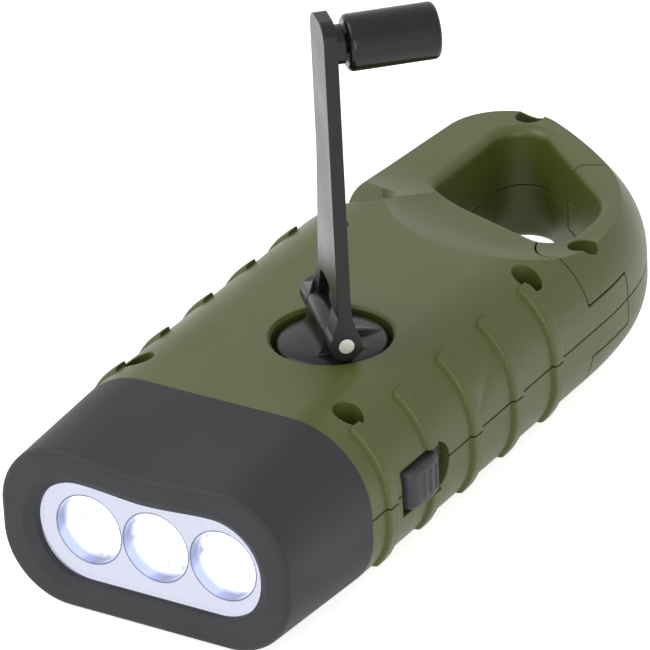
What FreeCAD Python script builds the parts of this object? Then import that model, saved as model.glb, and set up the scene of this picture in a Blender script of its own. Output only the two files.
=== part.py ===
import FreeCAD, Part
import Sketcher
import math
import os
from FreeCAD import Placement, Rotation, Vector

# Hand crank flashlight with a carabiner tail, in millimetres.
# X runs across the body with the switch and the gate at +X. Y runs along it, lamp at -Y and carabiner at +Y.
# Z is up from the flat underside, and the crank is on the top face.

doc = FreeCAD.newDocument("CrankFlashlight")
sheet = doc.addObject("Spreadsheet::Sheet", "Sizes")

sizes = [
    ("body_width", 51.2, "across the casing, without its grip ribs"),
    ("body_length", 132.6, "lamp face to the back of the carabiner"),
    ("body_top", 27.4, "height of the flat top face"),
    ("parting_height", 13.6, "height of the seam between the two casings"),
    ("top_corner", 13.0, "radius of the upper edges of the body"),
    ("bottom_corner", 11.0, "radius of the lower edges of the body"),
    ("ring_top", 23.5, "height of the carabiner's upper face"),
    ("ring_bottom", 4.0, "height of the carabiner's lower face"),
    ("ring_edge", 2.5, "rounding between those faces and the sides"),
    ("fall_start_from_back", 45.3, "where the top face starts to fall towards the carabiner, before the back of the carabiner"),
    ("fall_end_from_back", 27.3, "where the fall ends, before the back of the carabiner"),
    ("rise_start_from_back", 42.3, "where the underside starts to rise, before the back of the carabiner"),
    ("rise_end_from_back", 25.3, "where the rise ends, before the back of the carabiner"),
    ("bend_width", 51.2, "width of a body that has the four plan radii below"),
    ("side_bend", 71.0, "plan radius where the gate side starts to turn in"),
    ("side_turn", 9.2, "degrees turned by that bend"),
    ("shoulder_bend", 34.0, "plan radius beside the gate hinge"),
    ("shoulder_turn", 40.0, "degrees turned by that bend"),
    ("back_bend", 80.0, "plan radius along the back of the gate"),
    ("back_turn", 14.0, "degrees turned by that bend"),
    ("spine_bend", 13.8, "plan radius of the corner on the spine side"),
    ("spine_lean", 4.2, "degrees by which the spine leans in"),
    ("rim_flare", 0.5, "chamfer round the crank recess"),
    ("wall", 2.0, "casing wall"),
    ("cavity_place", 8.0, "back wall of the hollow that holds the works"),
    ("seam_width", 0.3, "height of the fine groove along the seam"),
    ("seam_depth", 0.5, "depth of that groove"),
    ("rib_count", 5, "grip ribs on each side"),
    ("rib_first_from_joint", 3.9, "front edge of the first grip rib, behind the bezel"),
    ("rib_pitch", 12.0, "spacing of the grip ribs"),
    ("rib_width", 2.7, "width of a grip rib"),
    ("rib_height", 0.65, "how far a grip rib stands out"),
    ("rib_end", 20.2, "distance of a rib's ends from the middle"),
    ("bowl_x", 8.5, "centre of the scooped face before the carabiner eye"),
    ("bowl_y_from_back", 31.0, "centre of the scooped face, before the back of the carabiner"),
    ("bowl_radius", 24.6, "radius of the crease round the scooped face"),
    ("bowl_floor_radius", 12.0, "radius at which the scooped face levels out"),
    ("eye_left", -10.9, "spine side wall of the eye"),
    ("eye_right", 16.7, "gate side wall of the eye"),
    ("eye_front_left_from_back", 33.3, "front wall of the eye at its left end, before the back of the carabiner"),
    ("eye_front_right_from_back", 41.7, "front wall of the eye at its right end, before the back of the carabiner"),
    ("eye_shoulder_from_back", 26.3, "where the gate side wall of the eye turns in, before the back of the carabiner"),
    ("eye_back_from_back", 3.2, "where the two long walls of the eye would cross, before the back of the carabiner"),
    ("eye_corner_left", 5.0, "corner radius of the eye"),
    ("eye_corner_right", 4.0, "corner radius of the eye"),
    ("eye_corner_shoulder", 12.0, "corner radius of the eye"),
    ("eye_corner_back", 4.8, "corner radius of the eye"),
    ("eye_lip", 1.7, "rounding of the eye's rims"),
    ("gate_x", 20.1, "gate hinge"),
    ("gate_y_from_back", 39.9, "gate hinge, before the back of the carabiner"),
    ("gate_knuckle", 7.3, "radius of the joint round the gate hinge"),
    ("gate_reach", 27.6, "radius of the gate's free end about its hinge"),
    ("gate_gap", 0.35, "clearance round the gate"),
    ("gate_pin", 1.2, "radius of the gate's hinge screw"),
    ("tongue_half", 4.1, "half the thickness of the tongue between the gate's cheeks"),
    ("tongue_end", 4.9, "reach of that tongue beyond the hinge"),
    ("latch_half", 2.3, "half the height of the gate's latch nose"),
    ("latch_length", 3.0, "length of the latch nose"),
    ("latch_depth", 2.2, "thickness of the latch nose"),
    ("notch_x", -15.7, "centre of the notch that takes the folded knob"),
    ("notch_y_from_back", 44.0, "centre of the notch, before the back of the carabiner"),
    ("notch_radius", 4.9, "radius of the notch"),
    ("notch_floor", 10.6, "height of the notch's floor"),
    ("notch_flare_front", 35.0, "degrees by which the front wall of the notch flares"),
    ("notch_flare_back", 17.0, "degrees by which the back wall of the notch flares"),
    ("hub_x", 4.6, "crank axis"),
    ("hub_y", -20.6, "crank axis"),
    ("recess_radius", 9.1, "round recess that the crank disc sits in"),
    ("recess_floor", 24.0, "height of the recess floor"),
    ("hub_radius", 8.1, "radius of the crank disc"),
    ("hub_top", 25.8, "height of the crank disc's face"),
    ("hub_lift", 0.3, "clearance under the crank disc"),
    ("hub_shaft", 3.5, "radius of the crank shaft in its bearing"),
    ("hub_spindle", 2.4, "radius of the spindle that carries the drive gear"),
    ("running_gap", 0.06, "radial clearance of the turning fits"),
    ("rest_turn", 45.5, "degrees from +X to the side that the knob points to"),
    ("pin_height", 30.2, "height of the arm's pin"),
    ("pin_radius", 1.15, "radius of the arm's pin"),
    ("fork_width", 18.6, "across the two legs of the arm"),
    ("knuckle_width", 10.2, "width of the hub knuckle between the legs"),
    ("leg_gap", 0.15, "clearance each side of the knuckle"),
    ("fork_boss", 2.45, "radius of the leg ends"),
    ("arm_thick", 2.0, "thickness of the arm"),
    ("arm_near", 9.4, "distance of the arm's straight edge from the hub's middle, at its tip"),
    ("arm_tip", 8.4, "width of the arm at its tip"),
    ("arm_waist", 8.6, "width of the arm at the narrow end of its taper"),
    ("arm_waist_height", 28.0, "height above the pin of the narrow end of the taper"),
    ("arm_root", 11.5, "width of the arm at the wide end of its taper"),
    ("arm_root_height", 8.5, "height above the pin of the wide end of the taper"),
    ("arm_reach", 46.5, "pin to knob axis"),
    ("arm_end", 4.6, "arm beyond the knob axis"),
    ("arm_corner", 2.8, "corner radius at the arm's tip"),
    ("fork_height", 8.0, "height of the cut between the legs above the pin"),
    ("fork_flare", 1.6, "height above the pin at which the far leg reaches its full width"),
    ("fork_root", 4.6, "height above the pin to which the legs thicken towards their ends"),
    ("strut_top", 0.6, "inner edge of the far leg's strut at the top of the cut"),
    ("strut_foot", 3.4, "inner edge of that strut above the knuckle"),
    ("knob_radius", 4.2, "radius of the knob"),
    ("knob_length", 13.6, "length of the knob"),
    ("knob_gap", 0.3, "clearance between the collar and the knob"),
    ("knob_edge", 0.8, "rounding of the knob's ends"),
    ("knob_axle", 1.5, "radius of the knob's axle"),
    ("knob_collar", 2.9, "radius of the collar under the knob"),
    ("knob_collar_length", 1.6, "thickness of that collar"),
    ("knob_bore_depth", 11.0, "depth of the knob's bore"),
    ("gear_module", 0.5, "tooth size of the whole train"),
    ("drive_teeth", 56, "teeth on the crank's gear"),
    ("pinion_teeth", 12, "teeth on every pinion"),
    ("first_teeth", 48, "teeth on the first step-up gear"),
    ("second_teeth", 40, "teeth on the second step-up gear"),
    ("first_turn", 135.0, "direction from the crank axis to the first step-up gear"),
    ("second_turn", 20.0, "direction from the first to the second step-up gear"),
    ("rotor_turn", 250.0, "direction from the second step-up gear to the generator"),
    ("gear_face", 2.4, "thickness of a gear"),
    ("gear_space", 0.4, "clearance between gear layers"),
    ("axle_radius", 1.0, "radius of the step-up gears' axles"),
    ("layer_base", 14.0, "underside of the lowest gear layer"),
    ("plate_top", 13.4, "top of the gear plate"),
    ("plate_thick", 1.2, "thickness of the gear plate"),
    ("motor_radius", 11.5, "radius of the generator can"),
    ("motor_top", 12.0, "top of the generator can"),
    ("motor_can", 0.8, "wall of the generator can"),
    ("rotor_radius", 9.2, "radius of the generator's magnet rotor"),
    ("rotor_shaft", 1.0, "radius of the generator's shaft"),
    ("screw_shank", 1.0, "radius of the casing screws"),
    ("screw_head", 1.9, "radius of a screw head"),
    ("screw_head_height", 1.5, "height of a screw head"),
    ("counterbore", 2.3, "radius of the counterbores"),
    ("screw_seat", 19.5, "height of the seats under the screw heads"),
    ("screw_foot", 5.0, "height of the screw tips"),
    ("post_radius", 3.3, "radius of a screw post"),
    ("front_screw_x", 17.9, "front screws, each side of the middle"),
    ("front_screw_y_from_joint", 6.9, "front screws, behind the bezel"),
    ("back_screw_x", 19.3, "back screw on the gate side"),
    ("back_screw_place", 11.0, "back screw on the gate side"),
    ("spine_screw_x", -13.5, "back screw on the spine side"),
    ("spine_screw_place", 9.5, "back screw on the spine side"),
    ("ring_screw_x", -9.3, "screw at the back of the carabiner"),
    ("ring_screw_y_from_back", 4.9, "screw at the back of the carabiner, before the back of the carabiner"),
    ("bezel_length", 21.4, "length of the lamp bezel"),
    ("bezel_face_width", 48.8, "width of the bezel at its face"),
    ("bezel_face_top", 25.9, "height of the two crests of the bezel's face"),
    ("bezel_face_dip", 1.1, "depth of the dip between the crests"),
    ("bezel_face_bottom", 0.2, "height of the bezel's face at the bottom"),
    ("bezel_face_corner", 10.9, "radius of the corners of the face"),
    ("bezel_edge", 1.0, "rounding of the face's outer edge"),
    ("bezel_wall", 1.5, "wall of the bezel round the casings' neck"),
    ("neck_gap", 0.1, "clearance between the neck and the bezel"),
    ("neck_thick", 1.6, "thickness of the neck"),
    ("neck_length", 5.3, "length of the neck inside the bezel"),
    ("lamp_height", 11.9, "height of the three lamps"),
    ("lamp_width", 38.4, "width of the lamp opening"),
    ("lamp_top", 20.6, "height of the crests of the lamp opening"),
    ("lamp_dip", 0.7, "depth of the dip between them"),
    ("lamp_bottom", 4.3, "height of the lower edge of the lamp opening"),
    ("lamp_corner", 7.9, "corner radius of the lamp opening"),
    ("lip_depth", 1.2, "depth of the dished lip round the opening"),
    ("lip_spread", 1.6, "width of the dished lip"),
    ("lens_inset", 2.4, "lens behind the bezel's face"),
    ("lens_thick", 1.5, "lens thickness"),
    ("lens_rim", 0.9, "overlap of the lens behind the opening's edge"),
    ("bowl_pitch", 11.46, "spacing of the three reflector bowls"),
    ("bowl_mouth", 5.5, "radius of a reflector bowl at its mouth"),
    ("bowl_base", 2.75, "radius of a reflector bowl at its base"),
    ("led_radius", 2.5, "radius of a lamp diode"),
    ("led_height", 7.2, "height of a lamp diode"),
    ("board_thick", 1.2, "thickness of the circuit boards"),
    ("slot_front_from_joint", 8.3, "front end of the switch slot, behind the bezel"),
    ("slot_length", 13.4, "length of the switch slot"),
    ("slot_height", 7.4, "height of the switch slot"),
    ("slot_gap", 0.2, "clearance round the switch button"),
    ("button_proud", 1.5, "how far the button stands out of the side"),
    ("button_corner", 1.6, "corner radius of the button"),
    ("button_travel", 2.2, "travel of the switch"),
    ("slot_tail", 1.2, "room in the round end of the slot behind the button"),
    ("groove_count", 4, "grip grooves of the button"),
    ("groove_width", 0.9, "width of a grip groove"),
    ("groove_depth", 0.6, "depth of a grip groove"),
    ("flange_over", 0.8, "overlap of the button's flange behind the slot"),
    ("flange_thick", 0.9, "thickness of the button's flange"),
    ("flange_inset", 3.1, "outer face of the flange behind the side of the casing"),
    ("cell_radius", 7.75, "radius of a rechargeable cell"),
    ("cell_length", 5.9, "thickness of a rechargeable cell"),
    ("cell_pitch", 6.0, "spacing of the cells"),
    ("cell_count", 3, "rechargeable cells"),
    ("length_of_places", 132.6, "length of a body that has the places of the cells and back screws as given"),
    ("cell_place", -40.0, "axis of the cells"),
    ("cell_z", 10.6, "axis of the cells"),
    ("spring_wire", 0.25, "radius of the gate spring's wire"),
    ("spring_radius", 2.2, "radius of the gate spring's coil"),
    ("spring_turns", 3, "turns of the gate spring"),
    ("spring_pitch", 0.62, "rise of a turn"),
    ("spring_leg", 4.6, "length of the spring's leg in the casing"),
    ("spring_arm", 5.6, "length of the spring's leg in the gate"),
    ("plate_screw_radius", 0.8, "radius of the gear plate's screws"),
    ("plate_post", 2.0, "radius of the posts under the gear plate"),
    ("board_base", 10.2, "underside of the control board"),
    ("board_gap", 1.8, "room between the cells and the control board"),
    ("board_ahead", 4.7, "control board in front of the front screws"),
    ("board_behind", 10.5, "control board behind the front screws"),
    ("standoff_radius", 1.2, "radius of the control board's stand-offs"),
    ("housing_inset", 5.8, "electric switch behind the inner edge of its board"),
    ("housing_height", 4.4, "height of the electric switch"),
    ("slider_half", 1.4, "half the length of the electric switch's slider"),
    ("plate_near_x", 14.2, "gear plate's screw beside the crank on the switch side"),
    ("plate_near_y", -3.9, "the same screw, behind the crank axis"),
    ("plate_back_x", -15.5, "gear plate's back screw"),
    ("plate_back_y", 19.1, "gear plate's back screw, behind the crank axis"),
    ("plate_front_x", -13.5, "gear plate's front screw"),
    ("plate_front_y", -6.4, "gear plate's front screw, behind the crank axis"),
    ("rib_low", 3.4, "height at which the grip ribs end below"),
]

for row, (alias, value, note) in enumerate(sizes, start=1):
    sheet.set(f"A{row}", note)
    sheet.set(f"B{row}", str(value))
    sheet.setAlias(f"B{row}", alias)
doc.recompute()


class Size:
    def __getattr__(self, alias):
        return float(sheet.get(alias))


size = Size()
up = Vector(0, 0, 1)
half_width = size.body_width / 2
face_y = -size.body_length / 2
back_y = size.body_length / 2
joint_y = face_y + size.bezel_length
seam = size.parting_height
far = 2 * size.body_length

# Places along the body that go with the carabiner's back or with the joint of the bezel.
from_back = [
    "fall_start", "fall_end", "rise_start", "rise_end", "bowl_y", "eye_front_left", "eye_front_right",
    "eye_shoulder", "eye_back", "gate_y", "notch_y", "ring_screw_y",
]
from_joint = ["rib_first", "front_screw_y", "slot_front"]
along_body = [(name, back_y - getattr(size, name + "_from_back")) for name in from_back]
along_body += [(name, joint_y + getattr(size, name + "_from_joint")) for name in from_joint]
stretch = size.body_length / size.length_of_places
along_body += [
    ("cell_y", stretch * size.cell_place), ("cavity_end", stretch * size.cavity_place),
    ("back_screw_y", stretch * size.back_screw_place), ("spine_screw_y", stretch * size.spine_screw_place),
]
for row, (alias, value) in enumerate(along_body, start=1):
    sheet.set(f"C{row}", str(value))
    sheet.setAlias(f"C{row}", alias)
doc.recompute()


def keep(label, shape, place=None):
    """Adds a shape as a piece. A shape drawn in a frame of its own is put in place by that frame."""
    piece = doc.addObject("Part::Feature", label)
    piece.Label = label
    piece.Shape = shape
    piece.Placement = Placement() if place is None else place
    return piece


def box(x0, x1, y0, y1, z0, z1):
    return Part.makeBox(x1 - x0, y1 - y0, z1 - z0, Vector(x0, y0, z0))


def rod(radius, x, y, z0, z1):
    return Part.makeCylinder(radius, z1 - z0, Vector(x, y, z0), up)


def face(edges):
    return Part.Face(Part.Wire(edges))


def bend(point, heading, radius, turn):
    """A left-hand arc that starts at point with a heading in degrees, and its end."""
    def place(angle):
        return point + Vector(
            radius * (math.sin(math.radians(angle)) - math.sin(math.radians(heading))),
            radius * (math.cos(math.radians(heading)) - math.cos(math.radians(angle))),
            0,
        )

    end = place(heading + turn)
    return Part.Arc(point, place(heading + turn / 2), end).toShape(), end


def rounded(corners, z=0.0):
    """A closed outline through corners (x, y, radius), with its corners rounded."""
    count = len(corners)
    cuts = []
    for i in range(count):
        x, y, radius = corners[i]
        here = Vector(x, y, z)
        back = (Vector(corners[i - 1][0], corners[i - 1][1], z) - here).normalize()
        on = (Vector(corners[(i + 1) % count][0], corners[(i + 1) % count][1], z) - here).normalize()
        half = back.getAngle(on) / 2
        reach = radius / math.tan(half)
        middle = here + (back + on).normalize() * (radius / math.sin(half) - radius)
        cuts.append((here + back * reach, middle, here + on * reach, radius))
    edges = []
    for i in range(count):
        start, middle, end, radius = cuts[i]
        if radius > 0:
            edges.append(Part.Arc(start, middle, end).toShape())
        following = cuts[(i + 1) % count][0]
        if end.distanceToPoint(following) > 1e-6:
            edges.append(Part.LineSegment(end, following).toShape())
    return Part.Wire(edges)


def section(y, half, top, bottom, top_radius, bottom_radius, dip=0.0):
    """The closed cross-section of the casing at y. The top may dip between two crests."""
    waist = Vector(0, y, top - dip)
    right = Vector(half - top_radius, y, top)
    left = Vector(top_radius - half, y, top)
    edges = []

    def crest(start, end):
        third = (end.x - start.x) / 3
        curve = Part.BezierCurve()
        curve.setPoles([start, start + Vector(third, 0, 0), end - Vector(third, 0, 0), end])
        edges.append(curve.toShape())

    def corner(cx, cz, radius, start):
        points = []
        for angle in (start, start - 45, start - 90):
            turn = math.radians(angle)
            points.append(Vector(cx + radius * math.cos(turn), y, cz + radius * math.sin(turn)))
        edges.append(Part.Arc(*points).toShape())

    def line(x0, z0, x1, z1):
        edges.append(Part.LineSegment(Vector(x0, y, z0), Vector(x1, y, z1)).toShape())

    crest(waist, right)
    corner(half - top_radius, top - top_radius, top_radius, 90)
    line(half, top - top_radius, half, bottom + bottom_radius)
    corner(half - bottom_radius, bottom + bottom_radius, bottom_radius, 0)
    line(half - bottom_radius, bottom, bottom_radius - half, bottom)
    corner(bottom_radius - half, bottom + bottom_radius, bottom_radius, -90)
    line(-half, bottom + bottom_radius, -half, top - top_radius)
    corner(top_radius - half, top - top_radius, top_radius, -180)
    crest(left, waist)
    return Part.Wire(edges)


def body_section(y, inset=0.0):
    return section(
        y, half_width - inset, size.body_top - inset, inset,
        size.top_corner - inset, size.bottom_corner - inset,
    )


def along(wire, length):
    return Part.Face(wire).extrude(Vector(0, length, 0))


def plan_outline(z, front):
    """The outline of the casing and the carabiner seen from above."""
    widen = size.body_width / size.bend_width
    bends = [
        (widen * size.side_bend, size.side_turn),
        (widen * size.shoulder_bend, size.shoulder_turn),
        (widen * size.back_bend, size.back_turn),
    ]
    turned = sum(turn for radius, turn in bends)
    bends.append((widen * size.spine_bend, 180 - size.spine_lean - turned))
    rise = 0.0
    heading = 90.0
    for radius, turn in bends[:3]:
        rise += radius * (math.cos(math.radians(heading)) - math.cos(math.radians(heading + turn)))
        heading += turn
    rise += widen * size.spine_bend * (math.cos(math.radians(heading)) + 1)
    point = Vector(half_width, back_y - rise, z)
    edges = [Part.LineSegment(Vector(half_width, front, z), point).toShape()]
    heading = 90.0
    for radius, turn in bends:
        edge, point = bend(point, heading, radius, turn)
        edges.append(edge)
        heading += turn
    drop = (half_width + point.x) / math.tan(math.radians(size.spine_lean))
    foot = Vector(-half_width, point.y - drop, z)
    edges.append(Part.LineSegment(point, foot).toShape())
    edges.append(Part.LineSegment(foot, Vector(-half_width, front, z)).toShape())
    edges.append(Part.LineSegment(Vector(-half_width, front, z), Vector(half_width, front, z)).toShape())
    return Part.Wire(edges)


def edges_at(shape, z, keep_edge=lambda edge: True):
    found = []
    for edge in shape.Edges:
        box_ = edge.BoundBox
        if abs(box_.ZMin - z) < 1e-4 and abs(box_.ZMax - z) < 1e-4 and keep_edge(edge):
            found.append(edge)
    return found


def not_front(edge):
    return edge.BoundBox.YMax > joint_y + 1e-3


pillow = Part.Face(plan_outline(0, joint_y)).extrude(up * size.body_top)
top_round = min(size.top_corner, size.spine_bend - 0.3)
pillow = pillow.makeFillet(top_round, edges_at(pillow, size.body_top, not_front))
pillow = pillow.makeFillet(min(size.bottom_corner, size.spine_bend - 0.3), edges_at(pillow, 0.0, not_front))


def wedge(points):
    """A solid across the whole width whose side outline is given as (y, z) points."""
    corners = [Vector(-far, y, z) for y, z in points]
    return Part.Face(Part.makePolygon(corners + corners[:1])).extrude(Vector(2 * far, 0, 0))


# Both falls start at a crease and end level, so they run smoothly into the carabiner's flat faces.
def fall_edges(start, end, high, low):
    """The side view of a fall: an arc from (start, high) that ends level at (end, low), closed far away."""
    deep = high - low
    radius = ((end - start) ** 2 + deep ** 2) / (2 * abs(deep))
    side = math.copysign(1, deep)
    half = math.asin((end - start) / radius) / 2
    first = Vector(-far, start, high)
    middle = Vector(-far, end - radius * math.sin(half), low + side * radius * (1 - math.cos(half)))
    last = Vector(-far, end, low)
    corners = [last, Vector(-far, far, low), Vector(-far, far, side * far), Vector(-far, start, side * far), first]
    edges = [Part.Arc(first, middle, last).toShape()]
    edges += [Part.LineSegment(a, b).toShape() for a, b in zip(corners, corners[1:])]
    return edges


over = face(fall_edges(size.fall_start, size.fall_end, size.body_top, size.ring_top)).extrude(Vector(2 * far, 0, 0))
under = face(fall_edges(size.rise_start, size.rise_end, 0, size.ring_bottom)).extrude(Vector(2 * far, 0, 0))

# The scooped face is turned about a vertical axis: level near the middle, then rising to its crease.
deep = size.body_top - size.ring_top
span = size.bowl_radius - size.bowl_floor_radius
dish_radius = (span ** 2 + deep ** 2) / (2 * deep)
dish_centre = Vector(size.bowl_floor_radius, 0, size.ring_top + dish_radius)
dish_angle = math.asin(span / dish_radius)


def on_dish(angle):
    return dish_centre + Vector(dish_radius * math.sin(angle), 0, -dish_radius * math.cos(angle))


level = Vector(0, 0, size.ring_top)
crease = on_dish(dish_angle)
above = Vector(crease.x, 0, 2 * size.body_top)
axis_top = Vector(0, 0, 2 * size.body_top)
bowl = face([
    Part.LineSegment(level, on_dish(0)).toShape(),
    Part.Arc(on_dish(0), on_dish(dish_angle / 2), crease).toShape(),
    Part.LineSegment(crease, above).toShape(),
    Part.LineSegment(above, axis_top).toShape(),
    Part.LineSegment(axis_top, level).toShape(),
]).revolve(Vector(0, 0, 0), up, 360)
bowl.translate(Vector(size.bowl_x, size.bowl_y, 0))
body = pillow.cut([over, under, bowl])

eye_corners = [
    (size.eye_left, size.eye_front_left, size.eye_corner_left),
    (size.eye_right, size.eye_front_right, size.eye_corner_right),
    (size.eye_right, size.eye_shoulder, size.eye_corner_shoulder),
    (size.eye_left, size.eye_back, size.eye_corner_back),
]
eye = Part.Face(rounded(eye_corners)).extrude(up * size.body_top)
body = body.cut(eye)


def round_edges(shape, chosen, radius, label):
    """Rounds the chosen edges, or tells that they stay sharp."""
    try:
        result = shape.makeFillet(radius, chosen)
        if result.isValid() and result.Solids:
            return result
    except Exception as error:
        print("fillet", label, "failed", error)
        return shape
    print("fillet", label, "invalid")
    return shape


def on_outline(edge, outline, z0, z1):
    """Tells whether an edge lies on the wall that stands on a plan outline, between two heights."""
    first, last = edge.ParameterRange
    points = [edge.valueAt(first + (last - first) * share) for share in (0.03, 0.5, 0.97)]
    if max(p.z for p in points) - min(p.z for p in points) > 0.8 * edge.Length:
        return False
    for p in points:
        if not z0 < p.z < z1:
            return False
        if outline.distToShape(Part.Vertex(p.x, p.y, 0))[0] > 1e-3:
            return False
    return True


eye_outline = rounded(eye_corners)
for below, above_z, label in ((-1, seam, "lower rim"), (seam, 2 * size.body_top, "upper rim")):
    rim = [e for e in body.Edges if on_outline(e, eye_outline, below, above_z)]
    body = round_edges(body, rim, size.eye_lip, label)


def flat_border(edge, level_z, first_y):
    box_ = edge.BoundBox
    flat = abs(box_.ZMin - level_z) < 1e-3 and abs(box_.ZMax - level_z) < 1e-3
    behind = box_.YMin > first_y - 1e-3 and box_.YLength > 1e-3
    middle = edge.valueAt(sum(edge.ParameterRange) / 2)
    away = eye_outline.distToShape(Part.Vertex(middle.x, middle.y, 0))[0] > size.eye_lip + 0.2
    return flat and behind and away


border = [e for e in body.Edges if flat_border(e, size.ring_bottom, size.rise_end)]
body = round_edges(body, border, size.ring_edge, "ring edge")


# Grip ribs: slices of a slightly larger casing with rounded edges, kept on the sides only.
def rib(y):
    slab = along(body_section(y, -size.rib_height), size.rib_width)
    ring_edges = []
    for edge in slab.Edges:
        box_ = edge.BoundBox
        if box_.YLength < 1e-4:
            ring_edges.append(edge)
    slab = round_edges(slab, ring_edges, 0.85 * size.rib_height, "rib")
    low = size.rib_low
    right = box(size.rib_end, far, -far, far, low, far)
    left = box(-far, -size.rib_end, -far, far, low, far)
    return slab.common(right.fuse(left))


outer = body
for i in range(int(size.rib_count)):
    outer = outer.fuse(rib(size.rib_first + i * size.rib_pitch))

# The notch takes the knob when the crank is folded away. It opens to the spine side.
notch_centre = Vector(size.notch_x, size.notch_y, size.notch_floor)


def notch_side(heading, side):
    turn = math.radians(heading)
    start = notch_centre + Vector(0, side * size.notch_radius, 0)
    return start, start + Vector(math.cos(turn), math.sin(turn), 0) * half_width


back_near, back_far = notch_side(180 - size.notch_flare_back, 1)
front_near, front_far = notch_side(180 + size.notch_flare_front, -1)
mouth = Part.Face(Part.makePolygon([back_near, back_far, front_far, front_near, back_near]))
notch = mouth.extrude(up * size.body_top)
notch = notch.fuse(rod(size.notch_radius, size.notch_x, size.notch_y, size.notch_floor, 2 * size.body_top))
outer = outer.cut(notch.removeSplitter())

# Crank recess with a cup under it that carries the crank shaft.
hub_place = Vector(size.hub_x, size.hub_y, 0)
bearing_radius = size.hub_shaft + size.running_gap
recess = rod(size.recess_radius, size.hub_x, size.hub_y, size.recess_floor, far)
flare = Part.makeCone(
    size.recess_radius, size.recess_radius + size.rim_flare + 1, size.rim_flare + 1,
    Vector(size.hub_x, size.hub_y, size.body_top - size.rim_flare), up,
)
outer = outer.cut(recess.fuse(flare))

# The seam groove runs round the outside and inside the eye.
groove_low = seam - size.seam_width / 2
seam_line = plan_outline(groove_low, joint_y)
core = Part.Face(seam_line.makeOffset2D(-size.seam_depth)).extrude(up * size.seam_width)
slab = box(-far, far, joint_y + 0.01, far, groove_low, seam + size.seam_width / 2)
eye_ring = Part.Face(rounded(eye_corners, groove_low).makeOffset2D(size.seam_depth)).extrude(up * size.seam_width)
outer = outer.cut([slab.cut(core), eye_ring])


# Plan area of the gate: round its hinge, then out to its free end.
def gate_zone(gap):
    knuckle = size.gate_knuckle - gap
    inner_x = (size.eye_left + size.eye_right) / 2
    points = [
        Vector(size.gate_x, size.gate_y, 0),
        Vector(size.gate_x - knuckle, size.gate_y, 0),
        Vector(inner_x, size.eye_shoulder, 0),
        Vector(inner_x, far, 0),
        Vector(far, far, 0),
        Vector(far, size.gate_y - knuckle, 0),
        Vector(size.gate_x, size.gate_y - knuckle, 0),
    ]
    area = Part.Face(Part.makePolygon(points + points[:1])).extrude(up * size.body_top)
    area = area.common(rod(size.gate_reach - gap, size.gate_x, size.gate_y, 0, size.body_top))
    side = box(size.gate_x, far, size.gate_y - knuckle, size.gate_y + 1, 0, size.body_top)
    return area.fuse([rod(knuckle, size.gate_x, size.gate_y, 0, size.body_top), side])


def tongue_zone(gap, gap_up):
    radius = size.tongue_end + gap
    low = seam - size.tongue_half - gap_up
    high = seam + size.tongue_half + gap_up
    front = size.gate_y - size.gate_knuckle - 2
    post = rod(radius, size.gate_x, size.gate_y, low, high)
    return post.fuse([
        box(size.gate_x - radius, far, front, size.gate_y, low, high),
        box(size.gate_x, far, front, size.gate_y + radius, low, high),
    ])


wall_run = Vector(size.eye_left - size.eye_right, size.eye_back - size.eye_shoulder, 0).normalize()
wall_out = Vector(wall_run.y, -wall_run.x, 0)


def latch_zone(inner_radius, outer_radius, depth, half, lift):
    """A strip along the eye's long wall, between two radii about the gate hinge."""
    origin = Vector(size.eye_right, size.eye_shoulder, seam - half) - wall_out * lift
    depth += lift
    points = [origin, origin + wall_run * far, origin + wall_run * far + wall_out * depth, origin + wall_out * depth]
    strip = Part.Face(Part.makePolygon(points + points[:1])).extrude(up * 2 * half)
    ring = rod(outer_radius, size.gate_x, size.gate_y, 0, size.body_top)
    ring = ring.cut(rod(inner_radius, size.gate_x, size.gate_y, 0, size.body_top))
    return strip.common(ring)


gap = size.gate_gap
blank = outer.common(gate_zone(gap))
tongue_room = size.tongue_half + gap
low_front = box(-far, far, -far, size.gate_y + size.tongue_end, seam - tongue_room, seam + tongue_room)
latch = latch_zone(size.gate_reach - 3, size.gate_reach - gap + size.latch_length, size.latch_depth, size.latch_half, 0)
gate = blank.cut(low_front).fuse(latch)

casing = outer.cut(gate_zone(0))
tongue = outer.common(tongue_zone(-gap, 0))
casing = casing.fuse(tongue)
latch_room = latch_zone(
    size.gate_reach - 1, size.gate_reach + gap + size.latch_length,
    size.latch_depth + gap, size.latch_half + gap, 1.0,
)
casing = casing.cut(latch_room)


# Hollow for the works, the neck that enters the bezel, and the posts for the front screws.
screw_places = [
    (-size.front_screw_x, size.front_screw_y),
    (size.front_screw_x, size.front_screw_y),
    (size.back_screw_x, size.back_screw_y),
    (size.spine_screw_x, size.spine_screw_y),
    (size.ring_screw_x, size.ring_screw_y),
]
neck_inset = size.bezel_wall + size.neck_gap
lens_front = face_y + size.lens_inset
lens_back = lens_front + size.lens_thick
bowl_depth = size.led_height + 1.6
bowl_back = lens_back + bowl_depth + size.board_thick
board_y = bowl_back + 0.1
hollow = along(body_section(joint_y - 1, size.wall), size.cavity_end - joint_y + 1)
casing = casing.cut(hollow)
neck = along(body_section(joint_y - size.neck_length, neck_inset), size.neck_length + size.wall)
neck = neck.cut(along(body_section(joint_y - far, neck_inset + size.neck_thick), 2 * far))
posts = [rod(size.post_radius, x, y, 0, size.body_top) for x, y in screw_places[:2]]
casing = casing.fuse([neck] + [post.common(body) for post in posts])

# Gear centres, each a mesh distance from the one before.
def stepped(start, teeth, turn):
    distance = size.gear_module * (teeth + size.pinion_teeth) / 2
    angle = math.radians(turn)
    return start + Vector(distance * math.cos(angle), distance * math.sin(angle), 0)


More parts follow.
